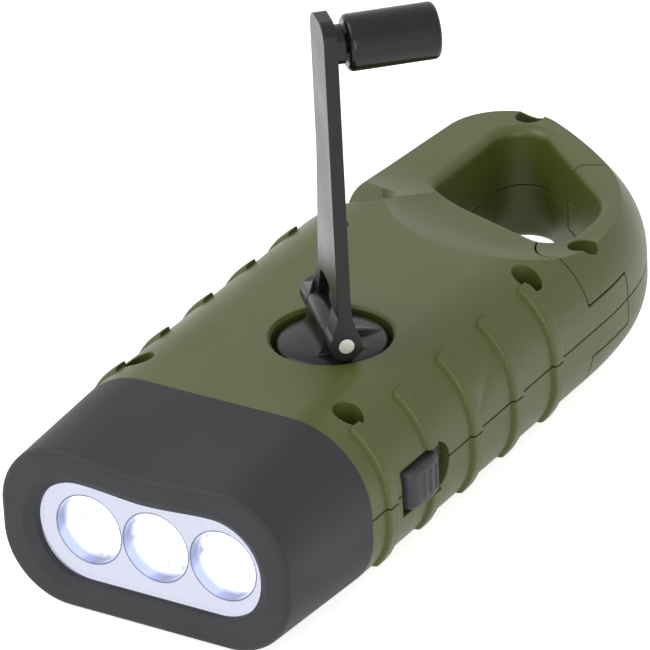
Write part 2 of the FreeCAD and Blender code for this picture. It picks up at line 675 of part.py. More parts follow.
first = stepped(hub_place, size.drive_teeth, size.first_turn)
second = stepped(first, size.first_teeth, size.second_turn)
motor = stepped(second, size.second_teeth, size.rotor_turn)
layer_step = size.gear_face + size.gear_space
layer_low = size.layer_base
layer_mid = layer_low + layer_step
layer_high = layer_mid + layer_step
cup_floor = layer_high + size.gear_face + size.gear_space
roof = size.body_top - size.wall
plate_base = size.plate_top - size.plate_thick
boss_radius = 2 * size.axle_radius

cup = rod(size.recess_radius + size.recess_floor - cup_floor, size.hub_x, size.hub_y, cup_floor, roof + 0.5)
first_boss = rod(boss_radius, first.x, first.y, cup_floor, roof + 0.5)
second_boss = rod(boss_radius, second.x, second.y, layer_high, roof + 0.5)
axle_top = roof - 0.5
casing = casing.fuse([cup.cut(recess), first_boss, second_boss])
casing = casing.cut([
    rod(bearing_radius, size.hub_x, size.hub_y, layer_high, size.body_top),
    rod(size.axle_radius, first.x, first.y, layer_low, axle_top),
    rod(size.axle_radius, second.x, second.y, layer_low, axle_top),
])

# Posts under the gear plate, a seat for the generator, cradles for the cells, and stand-offs for the board.
plate_screw_places = [
    (size.plate_near_x, size.hub_y + size.plate_near_y),
    (size.plate_back_x, size.hub_y + size.plate_back_y),
    (size.plate_front_x, size.hub_y + size.plate_front_y),
]
plate_posts = [rod(size.plate_post, x, y, size.wall - 0.5, plate_base) for x, y in plate_screw_places]
seat = rod(size.motor_radius + 1.2, motor.x, motor.y, size.wall - 0.5, size.wall + 1.5)
seat = seat.cut(rod(size.motor_radius + 0.1, motor.x, motor.y, size.wall, far))
seat = seat.common(box(-far, far, -far, far, size.wall - 0.5, far))
half_stack = size.cell_count * size.cell_pitch / 2
cradles = []
for side in (-1, 1):
    x = side * (half_stack - size.cell_pitch / 2)
    cradles.append(box(x - 0.75, x + 0.75, size.cell_y - 5, size.cell_y + 5, size.wall - 0.5, size.cell_z - 4))
cells_hole = Part.makeCylinder(size.cell_radius + 0.05, 2 * far, Vector(-far, size.cell_y, size.cell_z), Vector(1, 0, 0))
cradles = [piece.cut(cells_hole) for piece in cradles]
board_left = half_stack + size.board_gap
board_right = half_width - size.flange_inset - size.flange_thick - 0.4
board_back = size.front_screw_y + size.board_behind
standoffs = [
    rod(size.standoff_radius, x, board_back - size.standoff_radius - 0.4, size.wall - 0.5, size.board_base)
    for x in (board_left + size.standoff_radius + 0.4, board_right - size.standoff_radius - 2.8)
]
casing = casing.fuse(plate_posts + [seat] + cradles + standoffs)
casing = casing.cut([rod(size.plate_screw_radius, x, y, size.wall + 1, seam) for x, y in plate_screw_places])

# Screw bores and counterbores.
bores = []
for x, y in screw_places:
    bores.append(rod(size.screw_shank, x, y, size.screw_foot, seam))
    bores.append(rod(size.screw_shank + 0.15, x, y, seam, size.screw_seat))
    bores.append(rod(size.counterbore, x, y, size.screw_seat, size.body_top))
casing = casing.cut(bores)

# Switch slot, round at its ends.
slot_back = size.slot_front + size.slot_length
slot_round = size.slot_height / 2
side_x = half_width - size.wall - 2.5


slot = box(side_x, far, size.slot_front, slot_back - slot_round, seam - slot_round, seam + slot_round)
slot = slot.fuse(Part.makeCylinder(slot_round, far, Vector(side_x, slot_back - slot_round, seam), Vector(1, 0, 0)))
casing = casing.cut(slot)

# Hinge of the gate, with a pocket for its spring.
pin_gap = size.gate_pin + size.running_gap
coil_height = size.spring_turns * size.spring_pitch
spring_low = seam - coil_height / 2
spring_high = seam + coil_height / 2
spring_x = size.gate_x + size.spring_radius
wire_room = size.spring_wire + 0.25
casing = casing.cut([
    rod(pin_gap, size.gate_x, size.gate_y, 0, size.body_top),
    rod(size.spring_radius + wire_room, size.gate_x, size.gate_y, spring_low - wire_room, spring_high + wire_room),
    box(spring_x - wire_room, spring_x + wire_room, size.gate_y - size.spring_leg - 0.2, size.gate_y,
        spring_low - wire_room, seam + 0.01),
    box(spring_x - wire_room, spring_x + wire_room, size.gate_y, size.gate_y + size.tongue_end,
        seam - 0.01, spring_high + wire_room),
])
arm_room = rod(size.spring_arm + 0.9, size.gate_x, size.gate_y, spring_high - wire_room, spring_high + wire_room)
gate = gate.cut([
    arm_room.common(box(spring_x - 2 * wire_room, far, size.gate_y, far, 0, far)),
    rod(size.gate_pin, size.gate_x, size.gate_y, size.screw_foot, size.screw_seat),
    rod(size.counterbore, size.gate_x, size.gate_y, size.screw_seat, size.body_top),
])

above_seam = box(-far, far, -far, far, seam, far)
below_seam = box(-far, far, -far, far, -far, seam)


def solids(shape):
    """The shape as one solid, or as a group of separate solids."""
    found = [s for s in shape.Solids if s.Volume > 0.5]
    return found[0] if len(found) == 1 else Part.makeCompound(found)


pieces = {}
for label, shape in (
    ("upper_shell", casing.common(above_seam)),
    ("lower_shell", casing.common(below_seam)),
    ("gate_upper", gate.common(above_seam)),
    ("gate_lower", gate.common(below_seam)),
):
    pieces[label] = keep(label, solids(shape))


def bezel_face(y, inset=0.0):
    return section(
        y, size.bezel_face_width / 2 - inset, size.bezel_face_top - inset, size.bezel_face_bottom + inset,
        size.bezel_face_corner - inset, size.bezel_face_corner - inset, size.bezel_face_dip,
    )


def lamp_outline(y, spread=0.0):
    return section(
        y, size.lamp_width / 2 + spread, size.lamp_top + spread, size.lamp_bottom - spread,
        size.lamp_corner + spread, size.lamp_corner + spread, size.lamp_dip,
    )


# Bezel: lofted from its two-crested face to the casing's section, open from end to end.
hollow_front = lens_back + 2.0
shade = Part.makeLoft([bezel_face(face_y), body_section(joint_y)], True, True)
face_edges = [e for e in shade.Edges if e.BoundBox.YMax < face_y + 1e-4]
shade = round_edges(shade, face_edges, size.bezel_edge, "bezel face")
dish = Part.makeLoft([lamp_outline(face_y - 0.01, size.lip_spread), lamp_outline(face_y + size.lip_depth)], True, True)
neck_room = size.neck_length + size.neck_gap
shade = shade.cut([
    dish,
    along(lamp_outline(face_y), size.lens_inset),
    along(lamp_outline(lens_front, size.lens_rim), size.bezel_length),
    along(bezel_face(hollow_front, size.wall + 0.4), size.bezel_length - (hollow_front - face_y) - neck_room),
    along(body_section(joint_y - neck_room, size.bezel_wall), neck_room + 1),
])
pieces["bezel"] = keep("bezel", solids(shade))
pieces["lens"] = keep("lens", along(lamp_outline(lens_front, size.lens_rim - 0.1), size.lens_thick))

# Reflector: a front flange with three curved bowls turned about their lamps.
flange_y = lens_back


def turned(profile, x):
    """Turns a profile of (radius, y) points, joined by the given edges, about a lamp's axis."""
    shape = face(profile).revolve(Vector(0, 0, 0), Vector(0, 1, 0), 360)
    shape.translate(Vector(x, 0, size.lamp_height))
    return shape


def flared(x, grow):
    mouth = Vector(size.bowl_mouth + grow, flange_y, 0)
    base = Vector(size.bowl_base + grow, bowl_back, 0)
    belly = Part.BezierCurve()
    belly.setPoles([mouth, Vector(mouth.x, flange_y + 0.55 * bowl_depth, 0), base])
    top = Vector(0, mouth.y, 0)
    bottom = Vector(0, bowl_back, 0)
    profile = [Part.LineSegment(top, mouth).toShape(), belly.toShape(), Part.LineSegment(base, bottom).toShape()]
    return turned(profile + [Part.LineSegment(bottom, top).toShape()], x)


lamp_xs = [-size.bowl_pitch, 0.0, size.bowl_pitch]
mirror = along(lamp_outline(flange_y, size.lens_rim - 0.2), 1.0)
mirror = mirror.fuse([flared(x, 0.8) for x in lamp_xs]).cut([flared(x, 0.0) for x in lamp_xs])
pieces["reflector"] = keep("reflector", solids(mirror))


def cylinder(label, radius, height, x="0", y="0", z="0", axis=None):
    piece = doc.addObject("Part::Cylinder", label)
    piece.setExpression("Radius", radius)
    piece.setExpression("Height", height)
    if axis is not None:
        piece.Placement = Placement(Vector(), Rotation(up, axis))
    for cell, value in (("x", x), ("y", y), ("z", z)):
        piece.setExpression(f"Placement.Base.{cell}", value)
    return piece


def block(label, length, width, height, x="0", y="0", z="0"):
    piece = doc.addObject("Part::Box", label)
    for cell, value in (("Length", length), ("Width", width), ("Height", height)):
        piece.setExpression(cell, value)
    for cell, value in (("x", x), ("y", y), ("z", z)):
        piece.setExpression(f"Placement.Base.{cell}", value)
    return piece


def joined(label, items):
    piece = doc.addObject("Part::MultiFuse", label)
    piece.Shapes = items
    return piece


def without(label, base, tool):
    piece = doc.addObject("Part::Cut", label)
    piece.Base = base
    piece.Tool = tool
    return piece


def named(label, piece):
    piece.Label = label
    pieces[label] = piece
    return piece


# Values worked out above that the bound pieces refer to as well.
derived = [
    ("lamp_board_y", board_y), ("half_stack", half_stack), ("axle_top", axle_top), ("plate_base", plate_base),
    ("first_x", first.x), ("first_y", first.y), ("second_x", second.x), ("second_y", second.y),
    ("motor_x", motor.x), ("motor_y", motor.y), ("layer_mid", layer_mid), ("layer_high", layer_high),
    ("cup_floor", cup_floor), ("joint_y", joint_y), ("half_width", half_width),
]
for row, (alias, value) in enumerate(derived, start=1):
    sheet.set(f"D{row}", str(value))
    sheet.setAlias(f"D{row}", alias)
doc.recompute()

# Lamp diodes: three in one node, each a flanged can with a domed end.
diodes = []
for i, x in enumerate(lamp_xs):
    tip = board_y - size.led_height
    straight = size.led_height - size.led_radius
    can = Part.makeCylinder(size.led_radius, straight, Vector(x, board_y - straight, size.lamp_height), Vector(0, 1, 0))
    dome = Part.makeSphere(size.led_radius, Vector(x, tip + size.led_radius, size.lamp_height))
    diodes.append(can.fuse(dome))
pieces["leds"] = keep("leds", Part.makeCompound(diodes))


def slab_body(label, x0, x1, y0, y1, thick, z0, plane="XY_Plane", place=None, holes=()):
    """A board cut from sheet: a dimensioned rectangle, padded, with round holes pocketed through it."""
    piece = doc.addObject("PartDesign::Body", label)
    sketch = piece.newObject("Sketcher::SketchObject", label + "_outline")
    origin = [f for f in piece.Origin.OriginFeatures if f.Role == plane][0]
    sketch.AttachmentSupport = [(origin, "")]
    sketch.MapMode = "FlatFace"
    corners = [Vector(0, 0, 0), Vector(9, 0, 0), Vector(9, 9, 0), Vector(0, 9, 0)]
    for i in range(4):
        sketch.addGeometry(Part.LineSegment(corners[i], corners[(i + 1) % 4]))
    for i in range(4):
        sketch.addConstraint(Sketcher.Constraint("Coincident", i, 2, (i + 1) % 4, 1))
    for i, kind in enumerate(("Horizontal", "Vertical", "Horizontal", "Vertical")):
        sketch.addConstraint(Sketcher.Constraint(kind, i))
    sketch.addConstraint(Sketcher.Constraint("Coincident", 0, 1, -1, 1))
    long_side = sketch.addConstraint(Sketcher.Constraint("DistanceX", 0, 1, 0, 2, 9))
    short_side = sketch.addConstraint(Sketcher.Constraint("DistanceY", 1, 1, 1, 2, 9))
    sketch.setExpression(f"Constraints[{long_side}]", f"({x1}) - ({x0})")
    sketch.setExpression(f"Constraints[{short_side}]", f"({y1}) - ({y0})")
    pad = piece.newObject("PartDesign::Pad", label + "_pad")
    pad.Profile = sketch
    pad.setExpression("Length", thick)
    if place is not None:
        piece.Placement = place
    for cell, value in (("x", x0), ("y", y0), ("z", z0)):
        piece.setExpression(f"Placement.Base.{cell}", value)
    if holes:
        doc.recompute()
        bored = piece.newObject("Sketcher::SketchObject", label + "_holes")
        bored.AttachmentSupport = [(origin, "")]
        bored.MapMode = "FlatFace"
        for x, y, radius in holes:
            at = bored.addGeometry(Part.Circle(Vector(9, 9, 0), up, 1))
            size_at = bored.addConstraint(Sketcher.Constraint("Radius", at, 1))
            x_at = bored.addConstraint(Sketcher.Constraint("DistanceX", -1, 1, at, 3, 9))
            y_at = bored.addConstraint(Sketcher.Constraint("DistanceY", -1, 1, at, 3, 9))
            bored.setExpression(f"Constraints[{size_at}]", radius)
            bored.setExpression(f"Constraints[{x_at}]", f"({x}) - ({x0})")
            bored.setExpression(f"Constraints[{y_at}]", f"({y}) - ({y0})")
        pocket = piece.newObject("PartDesign::Pocket", label + "_pocket")
        pocket.Profile = bored
        pocket.Type = "ThroughAll"
        pocket.Midplane = True
    return named(label, piece)


upright_board = Placement(Vector(), Rotation(Vector(1, 0, 0), 90))
slab_body(
    "led_board", "-1.5 * Sizes.bowl_pitch - 1", "1.5 * Sizes.bowl_pitch + 1",
    "0", "2 * Sizes.bowl_mouth + 1", "Sizes.board_thick", "Sizes.lamp_height - Sizes.bowl_mouth - 0.5",
    place=upright_board,
)
pieces["led_board"].setExpression("Placement.Base.y", "Sizes.lamp_board_y + Sizes.board_thick")

slab_body(
    "control_board", "Sizes.half_stack + Sizes.board_gap",
    "Sizes.half_width - Sizes.flange_inset - Sizes.flange_thick - 0.4",
    "Sizes.front_screw_y - Sizes.board_ahead", "Sizes.front_screw_y + Sizes.board_behind", "Sizes.board_thick", "Sizes.board_base",
    holes=[("Sizes.front_screw_x", "Sizes.front_screw_y", "Sizes.post_radius + 0.3")],
)
plate_holes = [
    ("Sizes.first_x", "Sizes.first_y", "Sizes.axle_radius"),
    ("Sizes.second_x", "Sizes.second_y", "Sizes.axle_radius"),
    ("Sizes.motor_x", "Sizes.motor_y", "Sizes.rotor_shaft + 0.6"),
]
plate_holes += [(f"{x}", f"{y}", "Sizes.plate_screw_radius") for x, y in plate_screw_places]
slab_body(
    "gear_plate", "-Sizes.half_width + Sizes.wall + 5.2", "Sizes.half_stack + 7.2",
    "Sizes.motor_y - Sizes.motor_radius - 0.9", "Sizes.cavity_end - 2", "Sizes.plate_thick", "Sizes.plate_base",
    holes=plate_holes,
)

# Rechargeable cells, three in one node.
cell_list = []
for i in range(int(size.cell_count)):
    start = -half_stack + i * size.cell_pitch + (size.cell_pitch - size.cell_length) / 2
    cell = Part.makeCylinder(size.cell_radius, size.cell_length, Vector(start, size.cell_y, size.cell_z), Vector(1, 0, 0))
    cell_list.append(cell.makeFillet(0.5, [e for e in cell.Edges if e.Closed and e.BoundBox.XLength < 1e-4]))
pieces["battery_cells"] = keep("battery_cells", Part.makeCompound(cell_list))

# Electric switch on the board, its slider, and the button that moves it.
housing_x0 = board_left + size.housing_inset
flange_x1 = half_width - size.flange_inset
flange_x0 = flange_x1 - size.flange_thick
housing_x1 = flange_x0 - 0.4
housing_z0 = size.board_base + size.board_thick
housing_z1 = housing_z0 + size.housing_height
button_length = size.slot_length - size.button_travel - 2 * size.slot_gap - size.slot_tail
button_front = size.slot_front + size.slot_gap
button_back = button_front + button_length
housing_y0 = size.front_screw_y + size.post_radius + 0.4
housing_y1 = board_back - 0.2
slider_y = (housing_y0 + housing_y1 - size.button_travel) / 2
slider_z = (housing_z0 + housing_z1) / 2
housing = box(housing_x0, housing_x1, housing_y0, housing_y1, housing_z0, housing_z1)
track_end = slider_y + size.button_travel + size.slider_half + 0.3
track = box(
    housing_x1 - 2.4, housing_x1 + 1, slider_y - size.slider_half - 0.3, track_end, slider_z - 1.0, slider_z + 1.0,
)
pieces["slide_switch"] = keep("slide_switch", housing.cut(track))
slider = box(
    housing_x1 - 2.0, flange_x1 + 0.6, slider_y - size.slider_half, slider_y + size.slider_half, slider_z - 0.8, slider_z + 0.8,
)
pieces["switch_slider"] = keep("switch_slider", slider)

flange_reach = size.button_travel + size.flange_over
button_half = size.slot_height / 2 - size.slot_gap
flange_half = button_half + size.flange_over + size.slot_gap
button_face = half_width + size.button_proud
stem = box(flange_x1 - 0.01, button_face, button_front, button_back, seam - button_half, seam + button_half)
stem = round_edges(stem, [e for e in stem.Edges if e.BoundBox.XLength > 1], size.button_corner, "button corners")
front_edges = [e for e in stem.Edges if e.BoundBox.XMin > button_face - 1e-4]
stem = round_edges(stem, front_edges, 0.5, "button face")
groove_step = button_length / (size.groove_count + 1)
grooves = []
for i in range(int(size.groove_count)):
    middle = button_front + (i + 1) * groove_step
    grooves.append(box(
        button_face - size.groove_depth, button_face + 1, middle - size.groove_width / 2,
        middle + size.groove_width / 2, -far, far,
    ))
flange = box(
    flange_x0, flange_x1, button_front - flange_reach, button_back + flange_reach,
    seam - flange_half, seam + flange_half,
)
button = stem.cut(grooves).fuse(flange).cut(slider)
pieces["switch_button"] = keep("switch_button", solids(button))

# Crank hub: disc, shaft and spindle, with the knuckle that the arm folds about.
arm_out = Vector(math.cos(math.radians(size.rest_turn)), math.sin(math.radians(size.rest_turn)), 0)
pin_axis = Vector(-arm_out.y, arm_out.x, 0)
pin_centre = Vector(size.hub_x, size.hub_y, size.pin_height)
arm_frame = Placement(FreeCAD.Matrix(
    pin_axis.x, up.x, arm_out.x, pin_centre.x,
    pin_axis.y, up.y, arm_out.y, pin_centre.y,
    pin_axis.z, up.z, arm_out.z, pin_centre.z,
    0, 0, 0, 1,
))


def in_arm_frame(shape):
    """Moves a shape drawn with X along the pin, Y up the arm and Z out of its face."""
    moved = shape.copy()
    moved.Placement = arm_frame.multiply(moved.Placement)
    return moved


def across(radius, x0, x1):
    return Part.makeCylinder(radius, x1 - x0, Vector(x0, 0, 0), Vector(1, 0, 0))


disc_base = size.recess_floor + size.hub_lift
shaft_end = cup_floor - 0.3
disc = rod(size.hub_radius, size.hub_x, size.hub_y, disc_base, size.hub_top)
disc = round_edges(disc, edges_at(disc, size.hub_top), 0.6, "disc")
spindle = rod(size.hub_spindle, size.hub_x, size.hub_y, layer_high, shaft_end + 0.2)
flat = box(
    size.hub_x + 0.75 * size.hub_spindle, size.hub_x + far, -far, far, 0, far,
)
half_knuckle = size.knuckle_width / 2
drop = size.pin_height - size.hub_top
knuckle_body = across(size.fork_boss, -half_knuckle, half_knuckle)
knuckle_body = knuckle_body.fuse(box(-half_knuckle, half_knuckle, -drop - 0.5, 0, -size.fork_boss, size.fork_boss))
gusset = Part.Face(Part.makePolygon([
    Vector(-0.2 * size.knuckle_width, -drop - 0.2, -size.hub_radius + 1.2),
    Vector(-0.2 * size.knuckle_width, -0.35 * drop, -size.fork_boss + 0.3),
    Vector(-0.2 * size.knuckle_width, -0.35 * drop, size.fork_boss - 0.3),
    Vector(-0.2 * size.knuckle_width, -drop - 0.2, size.hub_radius - 1.2),
    Vector(-0.2 * size.knuckle_width, -drop - 0.2, -size.hub_radius + 1.2),
])).extrude(Vector(0.4 * size.knuckle_width, 0, 0))
knuckle_body = knuckle_body.fuse(gusset).cut(across(size.pin_radius + size.running_gap, -far, far))
hub = disc.fuse([
    rod(size.hub_shaft, size.hub_x, size.hub_y, shaft_end, disc_base + 0.1),
    spindle.cut(flat),
    in_arm_frame(knuckle_body),
])
hub = hub.cut(rod(size.screw_shank, size.hub_x, size.hub_y, 0, layer_high + 4.5))
pieces["crank_hub"] = keep("crank_hub", solids(hub))


def screw(x, y, foot, seat_z, shank, head, head_height, turned_over=False):
    """A screw with a cross slot in its head. The head is above its seat, or below it when turned over."""
    if turned_over:
        body_part = rod(shank, x, y, seat_z, foot)
        cap = rod(head, x, y, seat_z - head_height, seat_z)
        slot_z = seat_z - head_height - 0.01
    else:
        body_part = rod(shank, x, y, foot, seat_z)
        cap = rod(head, x, y, seat_z, seat_z + head_height)
        slot_z = seat_z + 0.5 * head_height
    deep_z = 0.5 * head_height + 0.01
    arms = [
        box(x - 0.7 * head, x + 0.7 * head, y - 0.2, y + 0.2, slot_z, slot_z + deep_z),
        box(x - 0.2, x + 0.2, y - 0.7 * head, y + 0.7 * head, slot_z, slot_z + deep_z),
    ]
    return body_part.fuse(cap).cut(arms)


pieces["hub_screw"] = keep("hub_screw", screw(
    size.hub_x, size.hub_y, layer_high + 4.3, layer_high, size.screw_shank, size.hub_spindle + 0.8, 1.2, True,
))
pieces["case_screws"] = keep("case_screws", Part.makeCompound([
    screw(x, y, size.screw_foot, size.screw_seat, size.screw_shank, size.screw_head, size.screw_head_height)
    for x, y in screw_places
]))
pieces["plate_screws"] = keep("plate_screws", Part.makeCompound([
    screw(x, y, size.wall + 2, size.plate_top, size.plate_screw_radius, 1.6, 1.0) for x, y in plate_screw_places
]))
pieces["gate_pin"] = keep("gate_pin", screw(
    size.gate_x, size.gate_y, size.screw_foot, size.screw_seat, size.gate_pin, size.screw_head, size.screw_head_height,
))


# Gear train. Flanks are straight, and thin enough to run with play.
def gear(centre, teeth, low, turn, thick=None):
    thick = size.gear_face if thick is None else thick
    pitch = 360 / teeth
    pitch_radius = size.gear_module * teeth / 2
    profile = [
        (pitch_radius - 1.25 * size.gear_module, -0.31), (pitch_radius + 0.95 * size.gear_module, -0.12),
        (pitch_radius + 0.95 * size.gear_module, 0.12), (pitch_radius - 1.25 * size.gear_module, 0.31),
    ]
    points = []
    for i in range(int(teeth)):
        for radius, share in profile:
            angle = math.radians(turn + (i + share) * pitch)
            points.append(centre + Vector(radius * math.cos(angle), radius * math.sin(angle), low))
    return Part.Face(Part.makePolygon(points + points[:1])).extrude(up * thick)


def meshed(turn, teeth, line_turn, next_teeth):
    """The turn of the next gear, so that its gap faces the tooth of the one before."""
    return line_turn + 180 + 180 / next_teeth - (turn - line_turn) * teeth / next_teeth


drive_turn = size.first_turn
first_pinion_turn = meshed(drive_turn, size.drive_teeth, size.first_turn, size.pinion_teeth)
first_wheel_turn = size.second_turn
second_pinion_turn = meshed(first_wheel_turn, size.first_teeth, size.second_turn, size.pinion_teeth)
second_wheel_turn = size.rotor_turn
motor_pinion_turn = meshed(second_wheel_turn, size.second_teeth, size.rotor_turn, size.pinion_teeth)

drive = gear(hub_place, size.drive_teeth, layer_high, drive_turn)
drive = drive.cut(spindle.cut(flat))
pieces["drive_gear"] = keep("drive_gear", solids(drive))


def idler(label, centre, wheel_teeth, wheel_low, wheel_turn, pinion_turn, foot):
    cluster = gear(centre, wheel_teeth, wheel_low, wheel_turn)
    cluster = cluster.fuse([
        gear(centre, size.pinion_teeth, wheel_low + size.gear_face, pinion_turn, layer_step),
        rod(boss_radius, centre.x, centre.y, foot, wheel_low + 0.1),
    ])
    bore = rod(size.axle_radius + size.running_gap, centre.x, centre.y, 0, far)
    pieces[label] = keep(label, solids(cluster.cut(bore)))


idler("first_idler", first, size.first_teeth, layer_mid, first_wheel_turn, first_pinion_turn, size.plate_top + 0.2)
idler("second_idler", second, size.second_teeth, layer_low, second_wheel_turn, second_pinion_turn, size.plate_top + 0.2)
for label in ("first", "second"):
    named(label + "_axle", cylinder(
        label + "_axle", "Sizes.axle_radius", "Sizes.axle_top - Sizes.plate_base",
        f"Sizes.{label}_x", f"Sizes.{label}_y", "Sizes.plate_base",
    ))

# Generator: a can with a closed top, and a magnet rotor on a shaft that carries the last pinion.
can = cylinder("can", "Sizes.motor_radius", "Sizes.motor_top - Sizes.wall", "Sizes.motor_x", "Sizes.motor_y", "Sizes.wall")
can_room = cylinder(
    "can_room", "Sizes.motor_radius - Sizes.motor_can", "Sizes.motor_top - Sizes.wall - 2 * Sizes.motor_can",
    "Sizes.motor_x", "Sizes.motor_y", "Sizes.wall + Sizes.motor_can",
)
can_bore = cylinder(
    "can_bore", "Sizes.rotor_shaft + Sizes.running_gap", "Sizes.motor_top",
    "Sizes.motor_x", "Sizes.motor_y", "Sizes.wall + 0.4",
)
named("generator_case", without("generator_case", can, joined("can_cuts", [can_room, can_bore])))
magnet = cylinder(
    "magnet", "Sizes.rotor_radius", "Sizes.motor_top - Sizes.wall - 2 * Sizes.motor_can - 1.6",
    "Sizes.motor_x", "Sizes.motor_y", "Sizes.wall + Sizes.motor_can + 0.8",
)
rotor_shaft = cylinder(
    "rotor_shaft", "Sizes.rotor_shaft", "Sizes.layer_base + Sizes.gear_face - Sizes.wall - 0.5",
    "Sizes.motor_x", "Sizes.motor_y", "Sizes.wall + 0.5",
)
named("generator_rotor", joined("generator_rotor", [magnet, rotor_shaft]))
pinion = gear(motor, size.pinion_teeth, layer_low, motor_pinion_turn)
pieces["generator_pinion"] = keep("generator_pinion", pinion.cut(rod(size.rotor_shaft, motor.x, motor.y, 0, far)))

# Crank arm, drawn flat in its own frame: a straight edge, a tapering edge and a fork with an arched cut.
half_fork = size.fork_width / 2
leg_inner = size.knuckle_width / 2 + size.leg_gap
arm_top = size.arm_reach + size.arm_end
knob_x = size.arm_tip / 2 - size.arm_near
arm_outline = [
    (-half_fork, 0, 0),
    (-half_fork, size.fork_height, 6),
    (-size.arm_near, arm_top, size.arm_corner),
    (size.arm_tip - size.arm_near, arm_top, size.arm_corner),
    (size.arm_waist - half_fork, size.arm_waist_height, 30),
    (size.arm_root - half_fork, size.arm_root_height, 5),
    (leg_inner + 0.6, 2 * size.fork_flare, 1.2),
    (half_fork, size.fork_flare, 1.0),
    (half_fork, 0, 0),
]
strut_low = size.fork_boss + 2 * size.leg_gap
arch = [
    (-leg_inner, -size.fork_boss - 1, 0), (-leg_inner, size.fork_height, 2.5),
    (size.strut_top, size.fork_height, 1.5), (size.strut_foot, strut_low, 0.6),
    (leg_inner, strut_low, 0), (leg_inner, -size.fork_boss - 1, 0),
]
arm = Part.Face(rounded(arm_outline, -size.arm_thick / 2)).extrude(up * size.arm_thick)
root = [
    (0, 0.85 * size.fork_boss), (0.55 * size.fork_boss, 0.8 * size.fork_boss),
    (size.fork_root, size.arm_thick / 2), (size.fork_root, 0),
]
root_points = [Vector(0, y, z) for y, z in root] + [Vector(0, y, -z) for y, z in reversed(root[:-1])]
root_face = Part.Face(Part.makePolygon(root_points + root_points[:1]))
for start, end in ((-half_fork, -leg_inner), (leg_inner, half_fork)):
    thick_root = root_face.extrude(Vector(end - start, 0, 0))
    thick_root.translate(Vector(start, 0, 0))
    if start > 0:
        thick_root = thick_root.common(Part.Face(rounded(arm_outline, -far)).extrude(up * 2 * far))
    arm = arm.fuse([across(size.fork_boss, start, end), thick_root])
arm = arm.cut([
    Part.Face(rounded(arch, -far)).extrude(up * 2 * far),
    across(size.pin_radius, -far, far),
    Part.makeCylinder(size.knob_axle, 4 * size.arm_thick, Vector(knob_x, size.arm_reach, -2 * size.arm_thick), up),
])
pieces["crank_arm"] = keep("crank_arm", solids(arm), arm_frame)
pieces["arm_pin"] = keep("arm_pin", across(size.pin_radius, -half_fork - 0.2, half_fork + 0.2), arm_frame)

# Knob on its axle: the axle is riveted into the arm, with a collar that the knob runs against.
arm_half = size.arm_thick / 2
collar_end = arm_half + size.knob_collar_length
axle_end = collar_end + size.knob_gap + size.knob_bore_depth - 0.3


def knob_rod(radius, start, end):
    return Part.makeCylinder(radius, end - start, Vector(knob_x, size.arm_reach, start), up)


axle = knob_rod(size.knob_axle, -arm_half, axle_end).fuse(knob_rod(size.knob_collar, arm_half, collar_end))
pieces["knob_axle"] = keep("knob_axle", axle, arm_frame)
knob_start = collar_end + size.knob_gap
knob = knob_rod(size.knob_radius, knob_start, knob_start + size.knob_length)
knob = round_edges(knob, [e for e in knob.Edges if e.Closed], size.knob_edge, "knob")
knob = knob.cut(knob_rod(size.knob_axle + size.running_gap, knob_start - 1, knob_start + size.knob_bore_depth))
pieces["crank_knob"] = keep("crank_knob", knob, arm_frame)

# Gate spring: a coil round the hinge screw, with one leg in the casing and one in the gate.
helix = Part.makeHelix(size.spring_pitch, coil_height, size.spring_radius)
wire_face = Part.Wire(Part.Circle(Vector(size.spring_radius, 0, 0), Vector(0, 1, 0), size.spring_wire).toShape())
coil = Part.Wire(helix.Edges).makePipeShell([wire_face], True, True)
coil.translate(Vector(size.gate_x, size.gate_y, spring_low))
legs = [
    Part.makeCylinder(size.spring_wire, size.spring_leg, Vector(spring_x, size.gate_y, spring_low), Vector(0, -1, 0)),
    Part.makeCylinder(size.spring_wire, size.spring_arm, Vector(spring_x, size.gate_y, spring_high), Vector(0, 1, 0)),
]
spring = coil.fuse(legs)
pieces["gate_spring"] = keep("gate_spring", solids(spring))

doc.recompute()
for piece in doc.Objects:
    if "Invalid" in piece.State or "Error" in piece.State:
        raise RuntimeError(piece.Label + " did not build")
os.makedirs("parts", exist_ok=True)
total = 0
for label, piece in pieces.items():
    shape = piece.Shape
    if shape.isNull() or not shape.isValid():
        raise RuntimeError(label + " is not a sound solid")
    shape.exportStep("parts/" + label + ".step")
    total += 1
print(total, "pieces written")
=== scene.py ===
import math

import bmesh
import bpy
from mathutils import Matrix, Vector


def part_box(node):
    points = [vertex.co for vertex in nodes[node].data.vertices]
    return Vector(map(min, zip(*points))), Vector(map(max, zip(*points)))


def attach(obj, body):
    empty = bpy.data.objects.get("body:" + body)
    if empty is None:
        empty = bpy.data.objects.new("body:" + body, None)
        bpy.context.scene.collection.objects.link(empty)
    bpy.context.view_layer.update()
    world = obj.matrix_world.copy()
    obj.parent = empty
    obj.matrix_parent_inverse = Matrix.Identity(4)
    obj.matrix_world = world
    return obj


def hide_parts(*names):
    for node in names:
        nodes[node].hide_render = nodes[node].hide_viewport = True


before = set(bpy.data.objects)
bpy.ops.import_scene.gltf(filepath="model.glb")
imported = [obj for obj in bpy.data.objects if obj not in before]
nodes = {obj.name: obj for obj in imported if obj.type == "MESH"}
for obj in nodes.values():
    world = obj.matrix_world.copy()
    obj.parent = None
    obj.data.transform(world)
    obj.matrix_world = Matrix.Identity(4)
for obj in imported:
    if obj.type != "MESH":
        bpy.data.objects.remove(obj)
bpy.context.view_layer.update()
mm = 0.001  # sizes are written in millimetres, and Blender works in metres
tiny = 1e-6  # in metres: points nearer than this are one point
print("frame loaded:", len(nodes), "pieces")


# sRGB hex to the linear colour that a shader takes
def linear(hexCode):
    parts = [int(hexCode[i:i + 2], 16) / 255 for i in (1, 3, 5)]
    return [p / 12.92 if p <= 0.04045 else ((p + 0.055) / 1.055) ** 2.4 for p in parts] + [1.0]


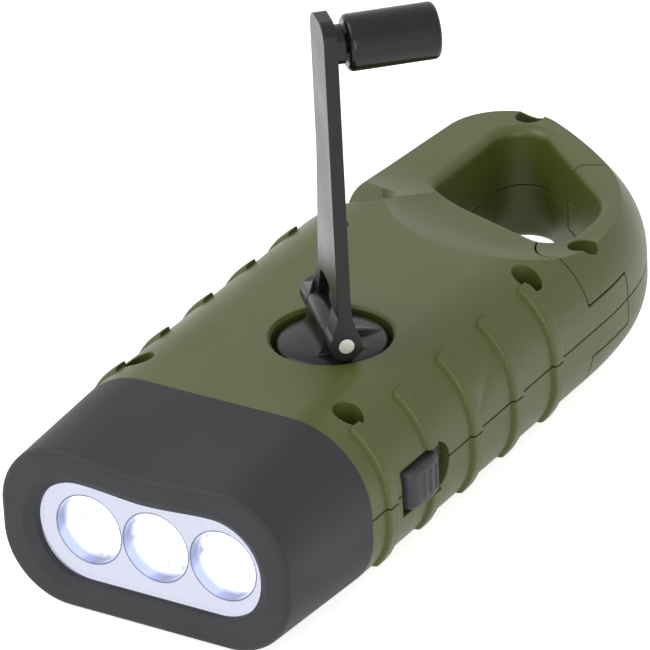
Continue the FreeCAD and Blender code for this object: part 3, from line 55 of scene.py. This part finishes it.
# one node with its settings; an input that is a socket is linked, any other value is set
def addNode(tree, kind, settings=None, inputs=None):
    node = tree.nodes.new("ShaderNode" + kind)
    for name, value in (settings or {}).items():
        setattr(node, name, value)
    for name, value in (inputs or {}).items():
        if isinstance(value, bpy.types.NodeSocket):
            tree.links.new(value, node.inputs[name])
        else:
            node.inputs[name].default_value = value
    return node


def newMaterial(name):
    material = bpy.data.materials.new(name)
    material.use_nodes = True
    material.node_tree.nodes.clear()
    return material, material.node_tree


def finishMaterial(tree, shader):
    addNode(tree, "OutputMaterial", inputs={"Surface": shader})


# the painted edge highlight starts at the first cosine between the rounded and the true normal and is full at
# the second, and the gloss follows the slow noise between its two levels
mouldedSkin = {"edgeHighlightStart": 0.99, "edgeHighlightFull": 0.8, "driftLow": 0.3, "driftHigh": 0.7}


# moulded plastic: a fine tool texture, slow drifts of tone and gloss, and edges rounded and painted a little
# paler as a painted highlight
def mouldedPlastic(look):
    material, tree = newMaterial(look["name"])
    place = addNode(tree, "TexCoord").outputs["Object"]
    grain = addNode(tree, "TexNoise", inputs={
        "Vector": place, "Scale": 1 / (look["grain"] * mm), "Detail": 3.0,
    })
    drift = addNode(tree, "TexNoise", inputs={
        "Vector": place, "Scale": 1 / (look["drift"] * mm), "Detail": 2.0,
    })
    rounded = addNode(tree, "Bevel", {"samples": 6}, {"Radius": look["edge"] * mm})
    facing = addNode(tree, "NewGeometry").outputs["Normal"]
    alike = addNode(tree, "VectorMath", {"operation": "DOT_PRODUCT"}, {0: rounded.outputs[0], 1: facing})
    # mask of the painted edge highlight: 0 on flat faces, rising to 1 near edges
    edge = addNode(tree, "MapRange", inputs={
        "Value": alike.outputs["Value"], "From Min": mouldedSkin["edgeHighlightStart"],
        "From Max": mouldedSkin["edgeHighlightFull"], "To Min": 0.0, "To Max": 1.0,
    })
    tone = addNode(tree, "MixRGB", inputs={
        "Fac": drift.outputs["Fac"], "Color1": linear(look["colour"]), "Color2": linear(look["colourFar"]),
    })
    # painted highlight: the edges take a paler colour that stands in for grazing light catching them
    edgeHighlighted = addNode(tree, "MixRGB", inputs={
        "Fac": edge.outputs["Result"], "Color1": tone.outputs["Color"],
        "Color2": linear(look["colourEdgeHighlight"]),
    })
    shine = addNode(tree, "MapRange", inputs={
        "Value": drift.outputs["Fac"], "From Min": mouldedSkin["driftLow"],
        "From Max": mouldedSkin["driftHigh"], "To Min": look["roughness"] - look["roughnessSpread"],
        "To Max": look["roughness"] + look["roughnessSpread"],
    })
    bump = addNode(tree, "Bump", inputs={
        "Strength": look["grainStrength"], "Distance": look["grainDepth"] * mm,
        "Height": grain.outputs["Fac"], "Normal": rounded.outputs[0],
    })
    shader = addNode(tree, "BsdfPrincipled", inputs={
        "Base Color": edgeHighlighted.outputs["Color"], "Roughness": shine.outputs["Result"], "IOR": look["ior"],
        "Normal": bump.outputs["Normal"],
    })
    finishMaterial(tree, shader.outputs[0])
    return material


# turned or drawn metal: fine streaks in its gloss and surface
def turnedMetal(look):
    material, tree = newMaterial(look["name"])
    place = addNode(tree, "TexCoord").outputs["Object"]
    streaks = addNode(tree, "TexNoise", inputs={
        "Vector": place, "Scale": 1 / (look["grain"] * mm), "Detail": 4.0,
    })
    shine = addNode(tree, "MapRange", inputs={
        "Value": streaks.outputs["Fac"], "To Min": look["roughness"] - look["roughnessSpread"],
        "To Max": look["roughness"] + look["roughnessSpread"],
    })
    bump = addNode(tree, "Bump", inputs={
        "Strength": look["grainStrength"], "Distance": look["grainDepth"] * mm,
        "Height": streaks.outputs["Fac"],
    })
    shader = addNode(tree, "BsdfPrincipled", inputs={
        "Base Color": linear(look["colour"]), "Metallic": 1.0, "Roughness": shine.outputs["Result"],
        "Normal": bump.outputs["Normal"],
    })
    finishMaterial(tree, shader.outputs[0])
    return material


# the looks: grain, drift, depth and edge are millimetres on the real piece; each look's edge colour is a
# painted highlight along its edges

# ABS moulded in a fine spark-eroded tool: soft broad highlights, deep green in its holes
oliveAbs = {
    "name": "olive_abs", "colour": "#4F541F", "colourFar": "#4B501C", "colourEdgeHighlight": "#5F6430",
    "grain": 0.45, "grainDepth": 0.02, "grainStrength": 0.35, "drift": 22, "roughness": 0.44,
    "roughnessSpread": 0.04, "edge": 0.35, "ior": 1.5,
}
# ABS with a soft satin skin: charcoal, with hardly any highlight
charcoalAbs = {
    "name": "charcoal_satin_abs", "colour": "#2F2E31", "colourFar": "#2C2B2E", "colourEdgeHighlight": "#3E3D40",
    "grain": 0.4, "grainDepth": 0.02, "grainStrength": 0.4, "drift": 18, "roughness": 0.6,
    "roughnessSpread": 0.04, "edge": 0.4, "ior": 1.4,
}
# glass-filled nylon of the crank: near black and half gloss, so that it mirrors the lamps broadly
blackNylon = {
    "name": "black_nylon", "colour": "#191717", "colourFar": "#161414", "colourEdgeHighlight": "#292626",
    "grain": 0.35, "grainDepth": 0.015, "grainStrength": 0.2, "drift": 9, "roughness": 0.3,
    "roughnessSpread": 0.04, "edge": 0.35, "ior": 1.38,
}
# polished ABS of the knob: black with sharp highlights
blackGloss = dict(
    blackNylon, name="black_gloss_abs", roughness=0.2, roughnessSpread=0.03, grainStrength=0.15,
)
# ABS of the switch button: a dark grey, paler than the bezel and a little glossier
greyAbs = dict(
    charcoalAbs, name="grey_switch_abs", colour="#3A3A3E", colourFar="#37373B", colourEdgeHighlight="#4C4C51",
    roughness=0.45,
)
# natural nylon of the gears: milky and slightly waxy
gearNylon = dict(
    oliveAbs, name="gear_nylon", colour="#DDD9CC", colourFar="#D6D2C4", colourEdgeHighlight="#E6E3D8",
    roughness=0.4,
)
# shrink sleeve over a cell: smooth, green and glossy
sleeveLook = dict(
    blackGloss, name="green_shrink_sleeve", colour="#1E5B36", colourFar="#1B5332", colourEdgeHighlight="#2A6B43",
)
# zinc-plated steel of pins, screws and axles: pale grey with a broad soft shine
platedSteel = {
    "name": "plated_steel", "colour": "#C9CAC0", "grain": 0.3, "grainDepth": 0.02, "grainStrength": 0.25,
    "roughness": 0.34, "roughnessSpread": 0.08,
}
# ferrite of the generator's rotor in a thin coat: a dull dark grey
magnetCoat = dict(platedSteel, name="coated_ferrite", colour="#55565A", grain=0.5, roughness=0.5)

# the row of lamps, shared by the reflector's pattern and the diodes
lampRow = {"pitch": 11.46, "height": 11.9, "bowlMouth": 5.5}

# vacuum-coated plastic with its lamps on, its painted light given as emission: white bowls with painted
# reflections of the diodes in them, a thin blue-grey painted line round each mouth, and a painted
# lavender-grey glow on the flange between them
reflectorLook = {
    "coat": "#85868F", "roughness": 0.2, "rippleSize": 2.5, "rippleDepth": 0.05, "rippleStrength": 0.2,
    "bowl": "#FFFFFF", "diodeReflection": "#7C86A8", "ring": "#3C4877", "flange": "#E0E1EA", "diodeReflectionSize": 1.7,
    "diodeReflectionStart": 0.56, "diodeReflectionFull": 0.68, "mouthSoft": 0.05, "ringWidth": 0.24, "ringCore": 0.3,
    "bowlGlow": 1.0, "flangeGlow": 0.8,
}


def mirrorCoat(look):
    material, tree = newMaterial("vacuum_coated_mirror")
    place = addNode(tree, "TexCoord").outputs["Object"]
    apart = addNode(tree, "SeparateXYZ", inputs={"Vector": place})

    # the middle of the nearest of the three bowls, at minus one, none or one pitch along X
    pitch = lampRow["pitch"] * mm
    shifted = addNode(tree, "Math", {"operation": "ADD"}, {0: apart.outputs["X"], 1: pitch / 2})
    snapped = addNode(tree, "Math", {"operation": "SNAP"}, {0: shifted.outputs[0], 1: pitch})
    notFar = addNode(tree, "Math", {"operation": "MINIMUM"}, {0: snapped.outputs[0], 1: pitch})
    nearest = addNode(tree, "Math", {"operation": "MAXIMUM"}, {0: notFar.outputs[0], 1: -pitch})

    # the distance from that middle tells the bowl from the flange, with a ring between them
    across = addNode(tree, "Math", {"operation": "SUBTRACT"}, {
        0: apart.outputs["X"], 1: nearest.outputs[0],
    })
    above = addNode(tree, "Math", {"operation": "SUBTRACT"}, {
        0: apart.outputs["Z"], 1: lampRow["height"] * mm,
    })
    flat = addNode(tree, "CombineXYZ", inputs={"X": across.outputs[0], "Y": above.outputs[0]})
    outward = addNode(tree, "VectorMath", {"operation": "LENGTH"}, {0: flat.outputs[0]})
    mouth = lampRow["bowlMouth"] * mm
    soft = look["mouthSoft"] * mm
    inside = addNode(tree, "MapRange", inputs={
        "Value": outward.outputs["Value"], "From Min": mouth + soft, "From Max": mouth - soft,
    })
    fromMouth = addNode(tree, "Math", {"operation": "SUBTRACT"}, {0: outward.outputs["Value"], 1: mouth})
    gap = addNode(tree, "Math", {"operation": "ABSOLUTE"}, {0: fromMouth.outputs[0]})
    ring = addNode(tree, "MapRange", inputs={
        "Value": gap.outputs[0], "From Min": look["ringWidth"] * mm,
        "From Max": look["ringCore"] * look["ringWidth"] * mm,
    })

    # painted reflection of the lit diodes: blue-grey blotches in the white bowls
    spots = addNode(tree, "TexNoise", inputs={
        "Vector": place, "Scale": 1 / (look["diodeReflectionSize"] * mm), "Detail": 3.0, "Roughness": 0.6,
    })
    diodeReflection = addNode(tree, "MapRange", inputs={
        "Value": spots.outputs["Fac"], "From Min": look["diodeReflectionStart"], "From Max": look["diodeReflectionFull"],
    })
    bowl = addNode(tree, "MixRGB", inputs={
        "Fac": diodeReflection.outputs["Result"], "Color1": linear(look["bowl"]), "Color2": linear(look["diodeReflection"]),
    })
    tone = addNode(tree, "MixRGB", inputs={
        "Fac": inside.outputs["Result"], "Color1": linear(look["flange"]), "Color2": bowl.outputs["Color"],
    })
    ringed = addNode(tree, "MixRGB", inputs={
        "Fac": ring.outputs["Result"], "Color1": tone.outputs["Color"], "Color2": linear(look["ring"]),
    })
    # painted glow: the reflector is no lamp, yet it emits its painted bowl, ring and flange colours
    glow = addNode(tree, "MapRange", inputs={
        "Value": inside.outputs["Result"], "To Min": look["flangeGlow"], "To Max": look["bowlGlow"],
    })
    ripple = addNode(tree, "TexNoise", inputs={
        "Vector": place, "Scale": 1 / (look["rippleSize"] * mm), "Detail": 1.0,
    })
    bump = addNode(tree, "Bump", inputs={
        "Strength": look["rippleStrength"], "Distance": look["rippleDepth"] * mm,
        "Height": ripple.outputs["Fac"],
    })
    shader = addNode(tree, "BsdfPrincipled", inputs={
        "Base Color": linear(look["coat"]), "Metallic": 1.0, "Roughness": look["roughness"],
        "Normal": bump.outputs["Normal"], "Emission Color": ringed.outputs["Color"],
        "Emission Strength": glow.outputs["Result"],
    })
    finishMaterial(tree, shader.outputs[0])
    return material


windowLook = {"colour": "#F6F8FF", "roughness": 0.02, "ior": 1.3}


# clear polycarbonate window: nearly unseen, because shadow and diffuse rays pass straight through it
def clearWindow(look):
    material, tree = newMaterial("clear_polycarbonate")
    rays = addNode(tree, "LightPath")
    free = addNode(tree, "Math", {"operation": "MAXIMUM"}, {
        0: rays.outputs["Is Shadow Ray"], 1: rays.outputs["Is Diffuse Ray"],
    })
    glass = addNode(tree, "BsdfPrincipled", inputs={
        "Base Color": linear(look["colour"]), "Roughness": look["roughness"], "IOR": look["ior"],
        "Transmission Weight": 1.0,
    })
    through = addNode(tree, "BsdfTransparent")
    both = addNode(tree, "MixShader", inputs={
        0: free.outputs[0], 1: glass.outputs[0], 2: through.outputs[0],
    })
    finishMaterial(tree, both.outputs[0])
    return material


epoxyLook = {"colour": "#F4F6FF", "roughness": 0.05, "light": "#CDD7FF", "strength": 3.2}


# lit water-clear epoxy: bluish light so strong that the dome itself looks white
def litEpoxy(look):
    material, tree = newMaterial("lit_clear_epoxy")
    shader = addNode(tree, "BsdfPrincipled", inputs={
        "Base Color": linear(look["colour"]), "Roughness": look["roughness"],
        "Emission Color": linear(look["light"]), "Emission Strength": look["strength"],
    })
    finishMaterial(tree, shader.outputs[0])
    return material


boardLook = {"weave": 1.2, "colour": "#1F5A33", "colourFar": "#22613A", "gap": "#1B4E2D", "roughness": 0.35}


# solder resist over glass fibre: green and half gloss, with a faint weave
def boardResist(look):
    material, tree = newMaterial("green_solder_resist")
    place = addNode(tree, "TexCoord").outputs["Object"]
    weave = addNode(tree, "TexBrick", inputs={
        "Vector": place, "Scale": 1 / (look["weave"] * mm), "Color1": linear(look["colour"]),
        "Color2": linear(look["colourFar"]), "Mortar": linear(look["gap"]),
    })
    shader = addNode(tree, "BsdfPrincipled", inputs={
        "Base Color": weave.outputs["Color"], "Roughness": look["roughness"],
    })
    finishMaterial(tree, shader.outputs[0])
    return material


olive = mouldedPlastic(oliveAbs)
charcoal = mouldedPlastic(charcoalAbs)
nylon = mouldedPlastic(blackNylon)
knobBlack = mouldedPlastic(blackGloss)
switchGrey = mouldedPlastic(greyAbs)
gearWhite = mouldedPlastic(gearNylon)
steel = turnedMetal(platedSteel)
magnet = turnedMetal(magnetCoat)
mirror = mirrorCoat(reflectorLook)
window = clearWindow(windowLook)
lit = litEpoxy(epoxyLook)
resist = boardResist(boardLook)
sleeve = mouldedPlastic(sleeveLook)
print("materials made")


# every carried-over piece gets its finish
finishes = {
    "upper_shell": olive, "lower_shell": olive, "gate_upper": olive, "gate_lower": olive,
    "bezel": charcoal, "lens": window, "reflector": mirror, "leds": lit, "led_board": resist,
    "control_board": resist, "switch_button": switchGrey, "slide_switch": nylon,
    "switch_slider": gearWhite, "crank_hub": nylon, "crank_arm": nylon, "crank_knob": knobBlack,
    "arm_pin": steel, "knob_axle": nylon, "hub_screw": steel, "drive_gear": gearWhite,
    "first_idler": gearWhite, "second_idler": gearWhite, "first_axle": steel, "second_axle": steel,
    "gear_plate": steel, "plate_screws": steel, "generator_case": steel, "generator_rotor": magnet,
    "generator_pinion": gearWhite, "battery_cells": sleeve, "gate_pin": steel, "gate_spring": steel,
    "case_screws": steel,
}
for name, finish in finishes.items():
    slots = nodes[name].material_slots
    for slot in slots:
        slot.material = finish
    if not slots:
        nodes[name].data.materials.append(finish)
print("finishes given")


sharpAngle = 32  # degrees: edges that turn by more than this stay sharp


# a bmesh becomes a finished piece with its place in its mesh
def finishPiece(mesh, name, body, material):
    bmesh.ops.remove_doubles(mesh, verts=mesh.verts, dist=tiny)
    data = bpy.data.meshes.new(name)
    mesh.to_mesh(data)
    mesh.free()
    data.materials.append(material)
    data.shade_smooth()
    data.set_sharp_from_angle(angle=math.radians(sharpAngle))
    piece = bpy.data.objects.new(name, data)
    bpy.context.scene.collection.objects.link(piece)
    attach(piece, body)
    return piece


# turns a profile of (radius, height) points round the Z axis
def spinProfile(mesh, points, steps):
    verts = [mesh.verts.new((radius * mm, 0, height * mm)) for radius, height in points]
    edges = [mesh.edges.new(pair) for pair in zip(verts, verts[1:])]
    bmesh.ops.spin(mesh, geom=verts + edges, cent=(0, 0, 0), axis=(0, 0, 1), angle=2 * math.pi,
                   steps=steps, use_merge=True)
    bmesh.ops.remove_doubles(mesh, verts=mesh.verts, dist=tiny)
    bmesh.ops.recalc_face_normals(mesh, faces=mesh.faces)


# a flat outline of (x, y, z) corners, drawn out into a solid
def drawOut(mesh, corners, travel):
    face = mesh.faces.new([mesh.verts.new([v * mm for v in corner]) for corner in corners])
    drawn = bmesh.ops.extrude_face_region(mesh, geom=[face])
    moved = [v for v in drawn["geom"] if isinstance(v, bmesh.types.BMVert)]
    bmesh.ops.translate(mesh, verts=moved, vec=[v * mm for v in travel])


def roundEdges(mesh, edges, radius, segments, clamp=False):
    bmesh.ops.bevel(mesh, geom=edges, offset=radius * mm, segments=segments, profile=0.5, affect="EDGES",
                    material=-1, clamp_overlap=clamp)


# tells whether an edge keeps the same place along an axis: 0 is X, 1 is Y and 2 is Z
def isLevel(edge, axis):
    return abs(edge.verts[0].co[axis] - edge.verts[1].co[axis]) < tiny


# the crank hub: a low crowned disc, a hump with hollow flanks for the pin, and a pointed rib down one side.
# x, y and turn place it; heights are above the floor, and crownFall and shoulder give the disc's face as
# (share of the radius, drop from the crown) and (inset from the radius, rise from the edge)
hubSizes = {
    "x": 4.6, "y": -20.6, "turn": 45.5, "radius": 8.5, "base": 24.3, "edge": 26.5, "crown": 27.3,
    "crownFall": ((0, 0), (0.4, 0.08), (0.7, 0.3)), "shoulder": ((0.7, 0.25), (0.25, -0.05), (0, -0.5)),
    "shaft": 3.5, "shaftEnd": 22.2, "spindle": 2.4, "spindleEnd": 19.6, "pin": 30.2, "boss": 2.45,
    "humpHalf": 5.1, "humpFoot": 4.9, "humpBase": 26.7, "humpEdge": 0.45,
    "flankShares": (0, 0.12, 0.25, 0.4, 0.55, 0.7, 0.85), "flankHollow": 2.4, "flankRise": 1.5,
    "ribStart": 0.5, "ribCrest": 1.6, "ribHigh": 28.7, "ribReach": 7.7, "ribSlope": 0.6, "ribFoot": 0.4,
    "ribTipHigh": 0.8, "ribWide": 3.0, "ribTip": 0.7, "ribEdge": 0.2,
}


# the hump's outline: hollow flank, round top, hollow flank; X runs across the pin, Y along it
def addHump(mesh, size):
    narrowing = size["humpFoot"] - size["boss"]
    rise = size["pin"] - size["humpBase"]
    flank = [
        (size["humpFoot"] - narrowing * (1 - (1 - share) ** size["flankHollow"]),
         size["humpBase"] + rise * share ** size["flankRise"])
        for share in size["flankShares"]
    ]
    angles = [math.radians(angle) for angle in range(0, 181, 10)]
    top = [(size["boss"] * math.cos(a), size["pin"] + size["boss"] * math.sin(a)) for a in angles]
    outline = flank + top + [(-x, z) for x, z in reversed(flank)]
    drawOut(mesh, [(x, -size["humpHalf"], z) for x, z in outline], (0, 2 * size["humpHalf"], 0))
    rims = [edge for edge in mesh.edges if isLevel(edge, 1)]
    roundEdges(mesh, rims, size["humpEdge"], 3, clamp=True)
    bmesh.ops.recalc_face_normals(mesh, faces=mesh.faces)


# the rib: a wedge from the hump's top down to a point near the disc's edge
def addRib(mesh, size):
    low = size["humpBase"] - size["ribFoot"]
    reach = size["ribReach"]
    ends = [
        (size["ribStart"], size["ribWide"], low),
        (reach, size["ribTip"], low),
        (size["ribCrest"], size["ribWide"], size["ribHigh"]),
        (reach - size["ribSlope"], size["ribTip"], low + size["ribTipHigh"]),
    ]
    corners = [(x, side * wide / 2, z) for x, wide, z in ends for side in (-1, 1)]
    points = [mesh.verts.new([v * mm for v in corner]) for corner in corners]
    hull = bmesh.ops.convex_hull(mesh, input=points)
    edges = [part for part in hull["geom"] if isinstance(part, bmesh.types.BMEdge)]
    roundEdges(mesh, edges, size["ribEdge"], 2)


def makeHub(size):
    mesh = bmesh.new()
    radius = size["radius"]
    crown = [(share * radius, size["crown"] - drop) for share, drop in size["crownFall"]]
    shoulder = [(radius - inset, size["edge"] + rise) for inset, rise in size["shoulder"]]
    spinProfile(mesh, crown + shoulder + [
        (radius, size["base"]), (size["shaft"], size["base"]), (size["shaft"], size["shaftEnd"]),
        (size["spindle"], size["shaftEnd"]), (size["spindle"], size["spindleEnd"]), (0, size["spindleEnd"]),
    ], 96)

    # made apart from the disc, so that their bevels leave it alone
    knuckle = bmesh.new()
    addHump(knuckle, size)
    addRib(knuckle, size)
    joined = bpy.data.meshes.new("knuckle")
    knuckle.to_mesh(joined)
    knuckle.free()
    mesh.from_mesh(joined)
    bpy.data.meshes.remove(joined)

    turn = Matrix.Rotation(math.radians(size["turn"]), 3, "Z")
    bmesh.ops.rotate(mesh, verts=mesh.verts, cent=(0, 0, 0), matrix=turn)
    bmesh.ops.translate(mesh, verts=mesh.verts, vec=(size["x"] * mm, size["y"] * mm, 0))
    piece = finishPiece(mesh, "crank_hub_moulding", "crank", nylon)
    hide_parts("crank_hub")


# a 5 mm lamp diode: domed epoxy with its collar, over two leads. tip and board are places along Y,
# collarBack is the gap from the collar to the board, and leadBack the distance of a lead's middle from it
diodeSizes = {
    "radius": 2.5, "tip": -59.5, "board": -52.3, "collar": 2.9, "collarLength": 1.0, "collarBack": 1.2,
    "lead": 0.28, "leadGap": 2.54, "leadLength": 1.3, "leadBack": 0.6,
}


def makeDiodes(size):
    mesh = bmesh.new()
    radius = size["radius"]
    length = size["board"] - size["tip"]
    back = length - size["collarBack"]
    front = back - size["collarLength"]
    angles = [math.radians(angle) for angle in range(0, 91, 9)]
    dome = [(radius * math.sin(a), radius * (1 - math.cos(a))) for a in angles]
    collar = [(radius, front), (size["collar"], front), (size["collar"], back), (0, back)]
    spinProfile(mesh, dome + collar, 48)
    for side in (-1, 1):
        place = (side * size["leadGap"] / 2 * mm, 0, (length - size["leadBack"]) * mm)
        bmesh.ops.create_cone(mesh, cap_ends=True, segments=8, radius1=size["lead"] * mm,
                              radius2=size["lead"] * mm, depth=size["leadLength"] * mm,
                              matrix=Matrix.Translation(place))
    forward = Matrix.Rotation(math.radians(-90), 3, "X")
    bmesh.ops.rotate(mesh, verts=mesh.verts, cent=(0, 0, 0), matrix=forward)
    first = mesh.faces[:] + mesh.edges[:] + mesh.verts[:]
    for column in (1, -1):
        copy = bmesh.ops.duplicate(mesh, geom=first)
        verts = [part for part in copy["geom"] if isinstance(part, bmesh.types.BMVert)]
        bmesh.ops.translate(mesh, verts=verts, vec=(column * lampRow["pitch"] * mm, 0, 0))
    bmesh.ops.translate(mesh, verts=mesh.verts, vec=(0, size["tip"] * mm, lampRow["height"] * mm))
    piece = finishPiece(mesh, "lamp_diodes", "casing", lit)
    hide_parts("leds")


# the switch button: a crowned pad with three grip ribs, on a skirt that fills the slot behind it. The pad's
# middle is back (along Y) and lower than its node's, and ribPlace is the middle rib's place on it
buttonSizes = {
    "length": 8.4, "height": 6.4, "crown": 0.5, "frontSteps": 10, "corner": 1.8,
    "bendAngles": (20, 40, 60, 80), "rim": 0.9, "rimStart": 0.2, "back": 0.5, "lower": 0.2,
    "skirtSink": 2.5, "skirtCorner": 1.2, "ribPlace": 0.6, "ribPitch": 1.7, "ribWide": 0.75,
    "ribHigh": 3.9, "ribDeep": 1.0, "ribProud": 0.22, "ribEdge": 0.2,
}


# a block of (x, y, z) size with its middle at a place; all its edges are rounded, or those along one axis
def addBlock(mesh, size, place, radius, along=None):
    verts = bmesh.ops.create_cube(mesh, size=1.0)["verts"]
    bmesh.ops.scale(mesh, verts=verts, vec=[v * mm for v in size])
    bmesh.ops.translate(mesh, verts=verts, vec=[v * mm for v in place])
    edges = {edge for v in verts for edge in v.link_edges}
    if along is not None:
        edges = {edge for edge in edges if not isLevel(edge, along)}
    roundEdges(mesh, list(edges), radius, 3)


def makeButton(size):
    low, high = [[v / mm for v in corner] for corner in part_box("switch_button")]
    middle = [(a + b) / 2 for a, b in zip(low, high)]
    outside, inside = high[0] - size["ribProud"], low[0]
    half, corner = size["length"] / 2, size["corner"]
    padY, padZ = middle[1] + size["back"], middle[2] - size["lower"]

    # the pad's outline from above: a crowned front, rounded into its two ends
    flat = half - corner
    steps = size["frontSteps"]
    places = [flat * (i / steps - 1) for i in range(2 * steps + 1)]
    front = [(outside - size["crown"] * (y / half) ** 2, y) for y in places]
    angles = [math.radians(angle) for angle in size["bendAngles"]]
    bend = [(front[-1][0] - corner * (1 - math.cos(a)), flat + corner * math.sin(a)) for a in angles]
    otherBend = [(x, -y) for x, y in reversed(bend)]
    outline = [(inside, -half)] + otherBend + front + bend + [(inside, half)]
    mesh = bmesh.new()
    bottom = padZ - size["height"] / 2
    drawOut(mesh, [(x, y + padY, bottom) for x, y in outline], (0, 0, size["height"]))
    rimStart = (inside + size["rimStart"]) * mm
    rims = [edge for edge in mesh.edges if isLevel(edge, 2) and min(v.co.x for v in edge.verts) > rimStart]
    roundEdges(mesh, rims, size["rim"], 5)
    bmesh.ops.recalc_face_normals(mesh, faces=mesh.faces)

    ribSize = (size["ribDeep"], size["ribWide"], size["ribHigh"])
    for i in (-1, 0, 1):
        y = size["ribPlace"] + i * size["ribPitch"]
        face = outside - size["crown"] * (y / half) ** 2
        ribX = face + size["ribProud"] - size["ribDeep"] / 2
        addBlock(mesh, ribSize, (ribX, y + padY, padZ), size["ribEdge"])
    reach = outside - size["skirtSink"] - inside
    skirtSize = (reach, high[1] - low[1], high[2] - low[2])
    addBlock(mesh, skirtSize, (inside + reach / 2, middle[1], middle[2]), size["skirtCorner"], along=0)
    piece = finishPiece(mesh, "switch_pad", "switch", switchGrey)
    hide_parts("switch_button")


makeHub(hubSizes)
makeDiodes(diodeSizes)
makeButton(buttonSizes)
print("hub, lamps and switch pad modelled")


# floor, world and lamps; sizes and places here are metres, apart from floorDrop
studio = {
    "floorSize": 3.0, "floorDrop": 0.05, "floorColour": "#F4F4F4", "floorGlow": 0.74,
    "worldLight": 0.56, "worldSeen": 1.0, "aim": (0, 0, 0.02),
    "keyPlace": (-0.55, -0.45, 0.75), "keySize": 0.7, "keyPower": 5.0,
    "fillPlace": (0.62, -0.85, 0.3), "fillSize": 0.6, "fillPower": 3.6,
}


# 1 for the rays that show the white background: the camera's, and those that gloss and glass send on
def seesBackground(tree):
    rays = addNode(tree, "LightPath")
    direct = addNode(tree, "Math", {"operation": "MAXIMUM"}, {
        0: rays.outputs["Is Camera Ray"], 1: rays.outputs["Is Glossy Ray"],
    })
    return addNode(tree, "Math", {"operation": "MAXIMUM"}, {
        0: direct.outputs[0], 1: rays.outputs["Is Transmission Ray"],
    }).outputs[0]


# white paper, whose own glow is there only for the rays that see the background
def makeFloor():
    mesh = bmesh.new()
    bmesh.ops.create_grid(mesh, x_segments=1, y_segments=1, size=studio["floorSize"] / 2)
    data = bpy.data.meshes.new("floor")
    mesh.to_mesh(data)
    mesh.free()
    floor = bpy.data.objects.new("floor", data)
    floor.location = (0, 0, -studio["floorDrop"] * mm)
    bpy.context.scene.collection.objects.link(floor)
    material, tree = newMaterial("white_sweep")
    seen = addNode(tree, "Math", {"operation": "MULTIPLY"}, {
        0: seesBackground(tree), 1: studio["floorGlow"],
    })
    glow = addNode(tree, "Emission", inputs={"Color": (1, 1, 1, 1), "Strength": seen.outputs[0]})
    paper = addNode(tree, "BsdfDiffuse", inputs={"Color": linear(studio["floorColour"])})
    both = addNode(tree, "AddShader", inputs={0: glow.outputs[0], 1: paper.outputs[0]})
    finishMaterial(tree, both.outputs[0])
    floor.data.materials.append(material)


def makeWorld():
    world = bpy.data.worlds.new("plain_studio")
    world.use_nodes = True
    tree = world.node_tree
    tree.nodes.clear()
    strength = addNode(tree, "MapRange", inputs={
        "Value": seesBackground(tree), "To Min": studio["worldLight"], "To Max": studio["worldSeen"],
    })
    sky = addNode(tree, "Background", inputs={
        "Color": (1, 1, 1, 1), "Strength": strength.outputs["Result"],
    })
    addNode(tree, "OutputWorld", inputs={"Surface": sky.outputs[0]})
    bpy.context.scene.world = world


def makeLamp(name, place, size, power):
    lamp = bpy.data.lights.new(name, "AREA")
    lamp.shape = "SQUARE"
    lamp.size = size
    lamp.energy = power
    piece = bpy.data.objects.new(name, lamp)
    piece.location = place
    towards = Vector(studio["aim"]) - Vector(place)
    piece.rotation_euler = towards.to_track_quat("-Z", "Y").to_euler()
    bpy.context.scene.collection.objects.link(piece)


# the camera looks at target (millimetres) from distance (metres); azimuth 0 looks along +Y
cameraPlace = {
    "target": (-11.89, 3.10, 13.60), "distance": 0.9899, "azimuth": 32.99, "elevation": 28.08,
    "roll": -3.08, "lens": 361.4,
}


def makeCamera(view):
    turn, lift = math.radians(view["azimuth"]), math.radians(view["elevation"])
    back = Vector((math.sin(turn) * math.cos(lift), -math.cos(turn) * math.cos(lift), math.sin(lift)))
    data = bpy.data.cameras.new("camera")
    data.lens = view["lens"]
    data.sensor_width = 36
    data.clip_start = 0.05
    data.clip_end = 20
    camera = bpy.data.objects.new("camera", data)
    camera.rotation_mode = "QUATERNION"
    roll = Matrix.Rotation(math.radians(view["roll"]), 4, "Z").to_quaternion()
    camera.rotation_quaternion = (-back).to_track_quat("-Z", "Y") @ roll
    camera.location = Vector([v * mm for v in view["target"]]) + back * view["distance"]
    bpy.context.scene.collection.objects.link(camera)
    bpy.context.scene.camera = camera


makeFloor()
makeWorld()
makeLamp("key", studio["keyPlace"], studio["keySize"], studio["keyPower"])
makeLamp("fill", studio["fillPlace"], studio["fillSize"], studio["fillPower"])
makeCamera(cameraPlace)
bpy.context.scene.view_settings.view_transform = "Standard"
print("stage set")
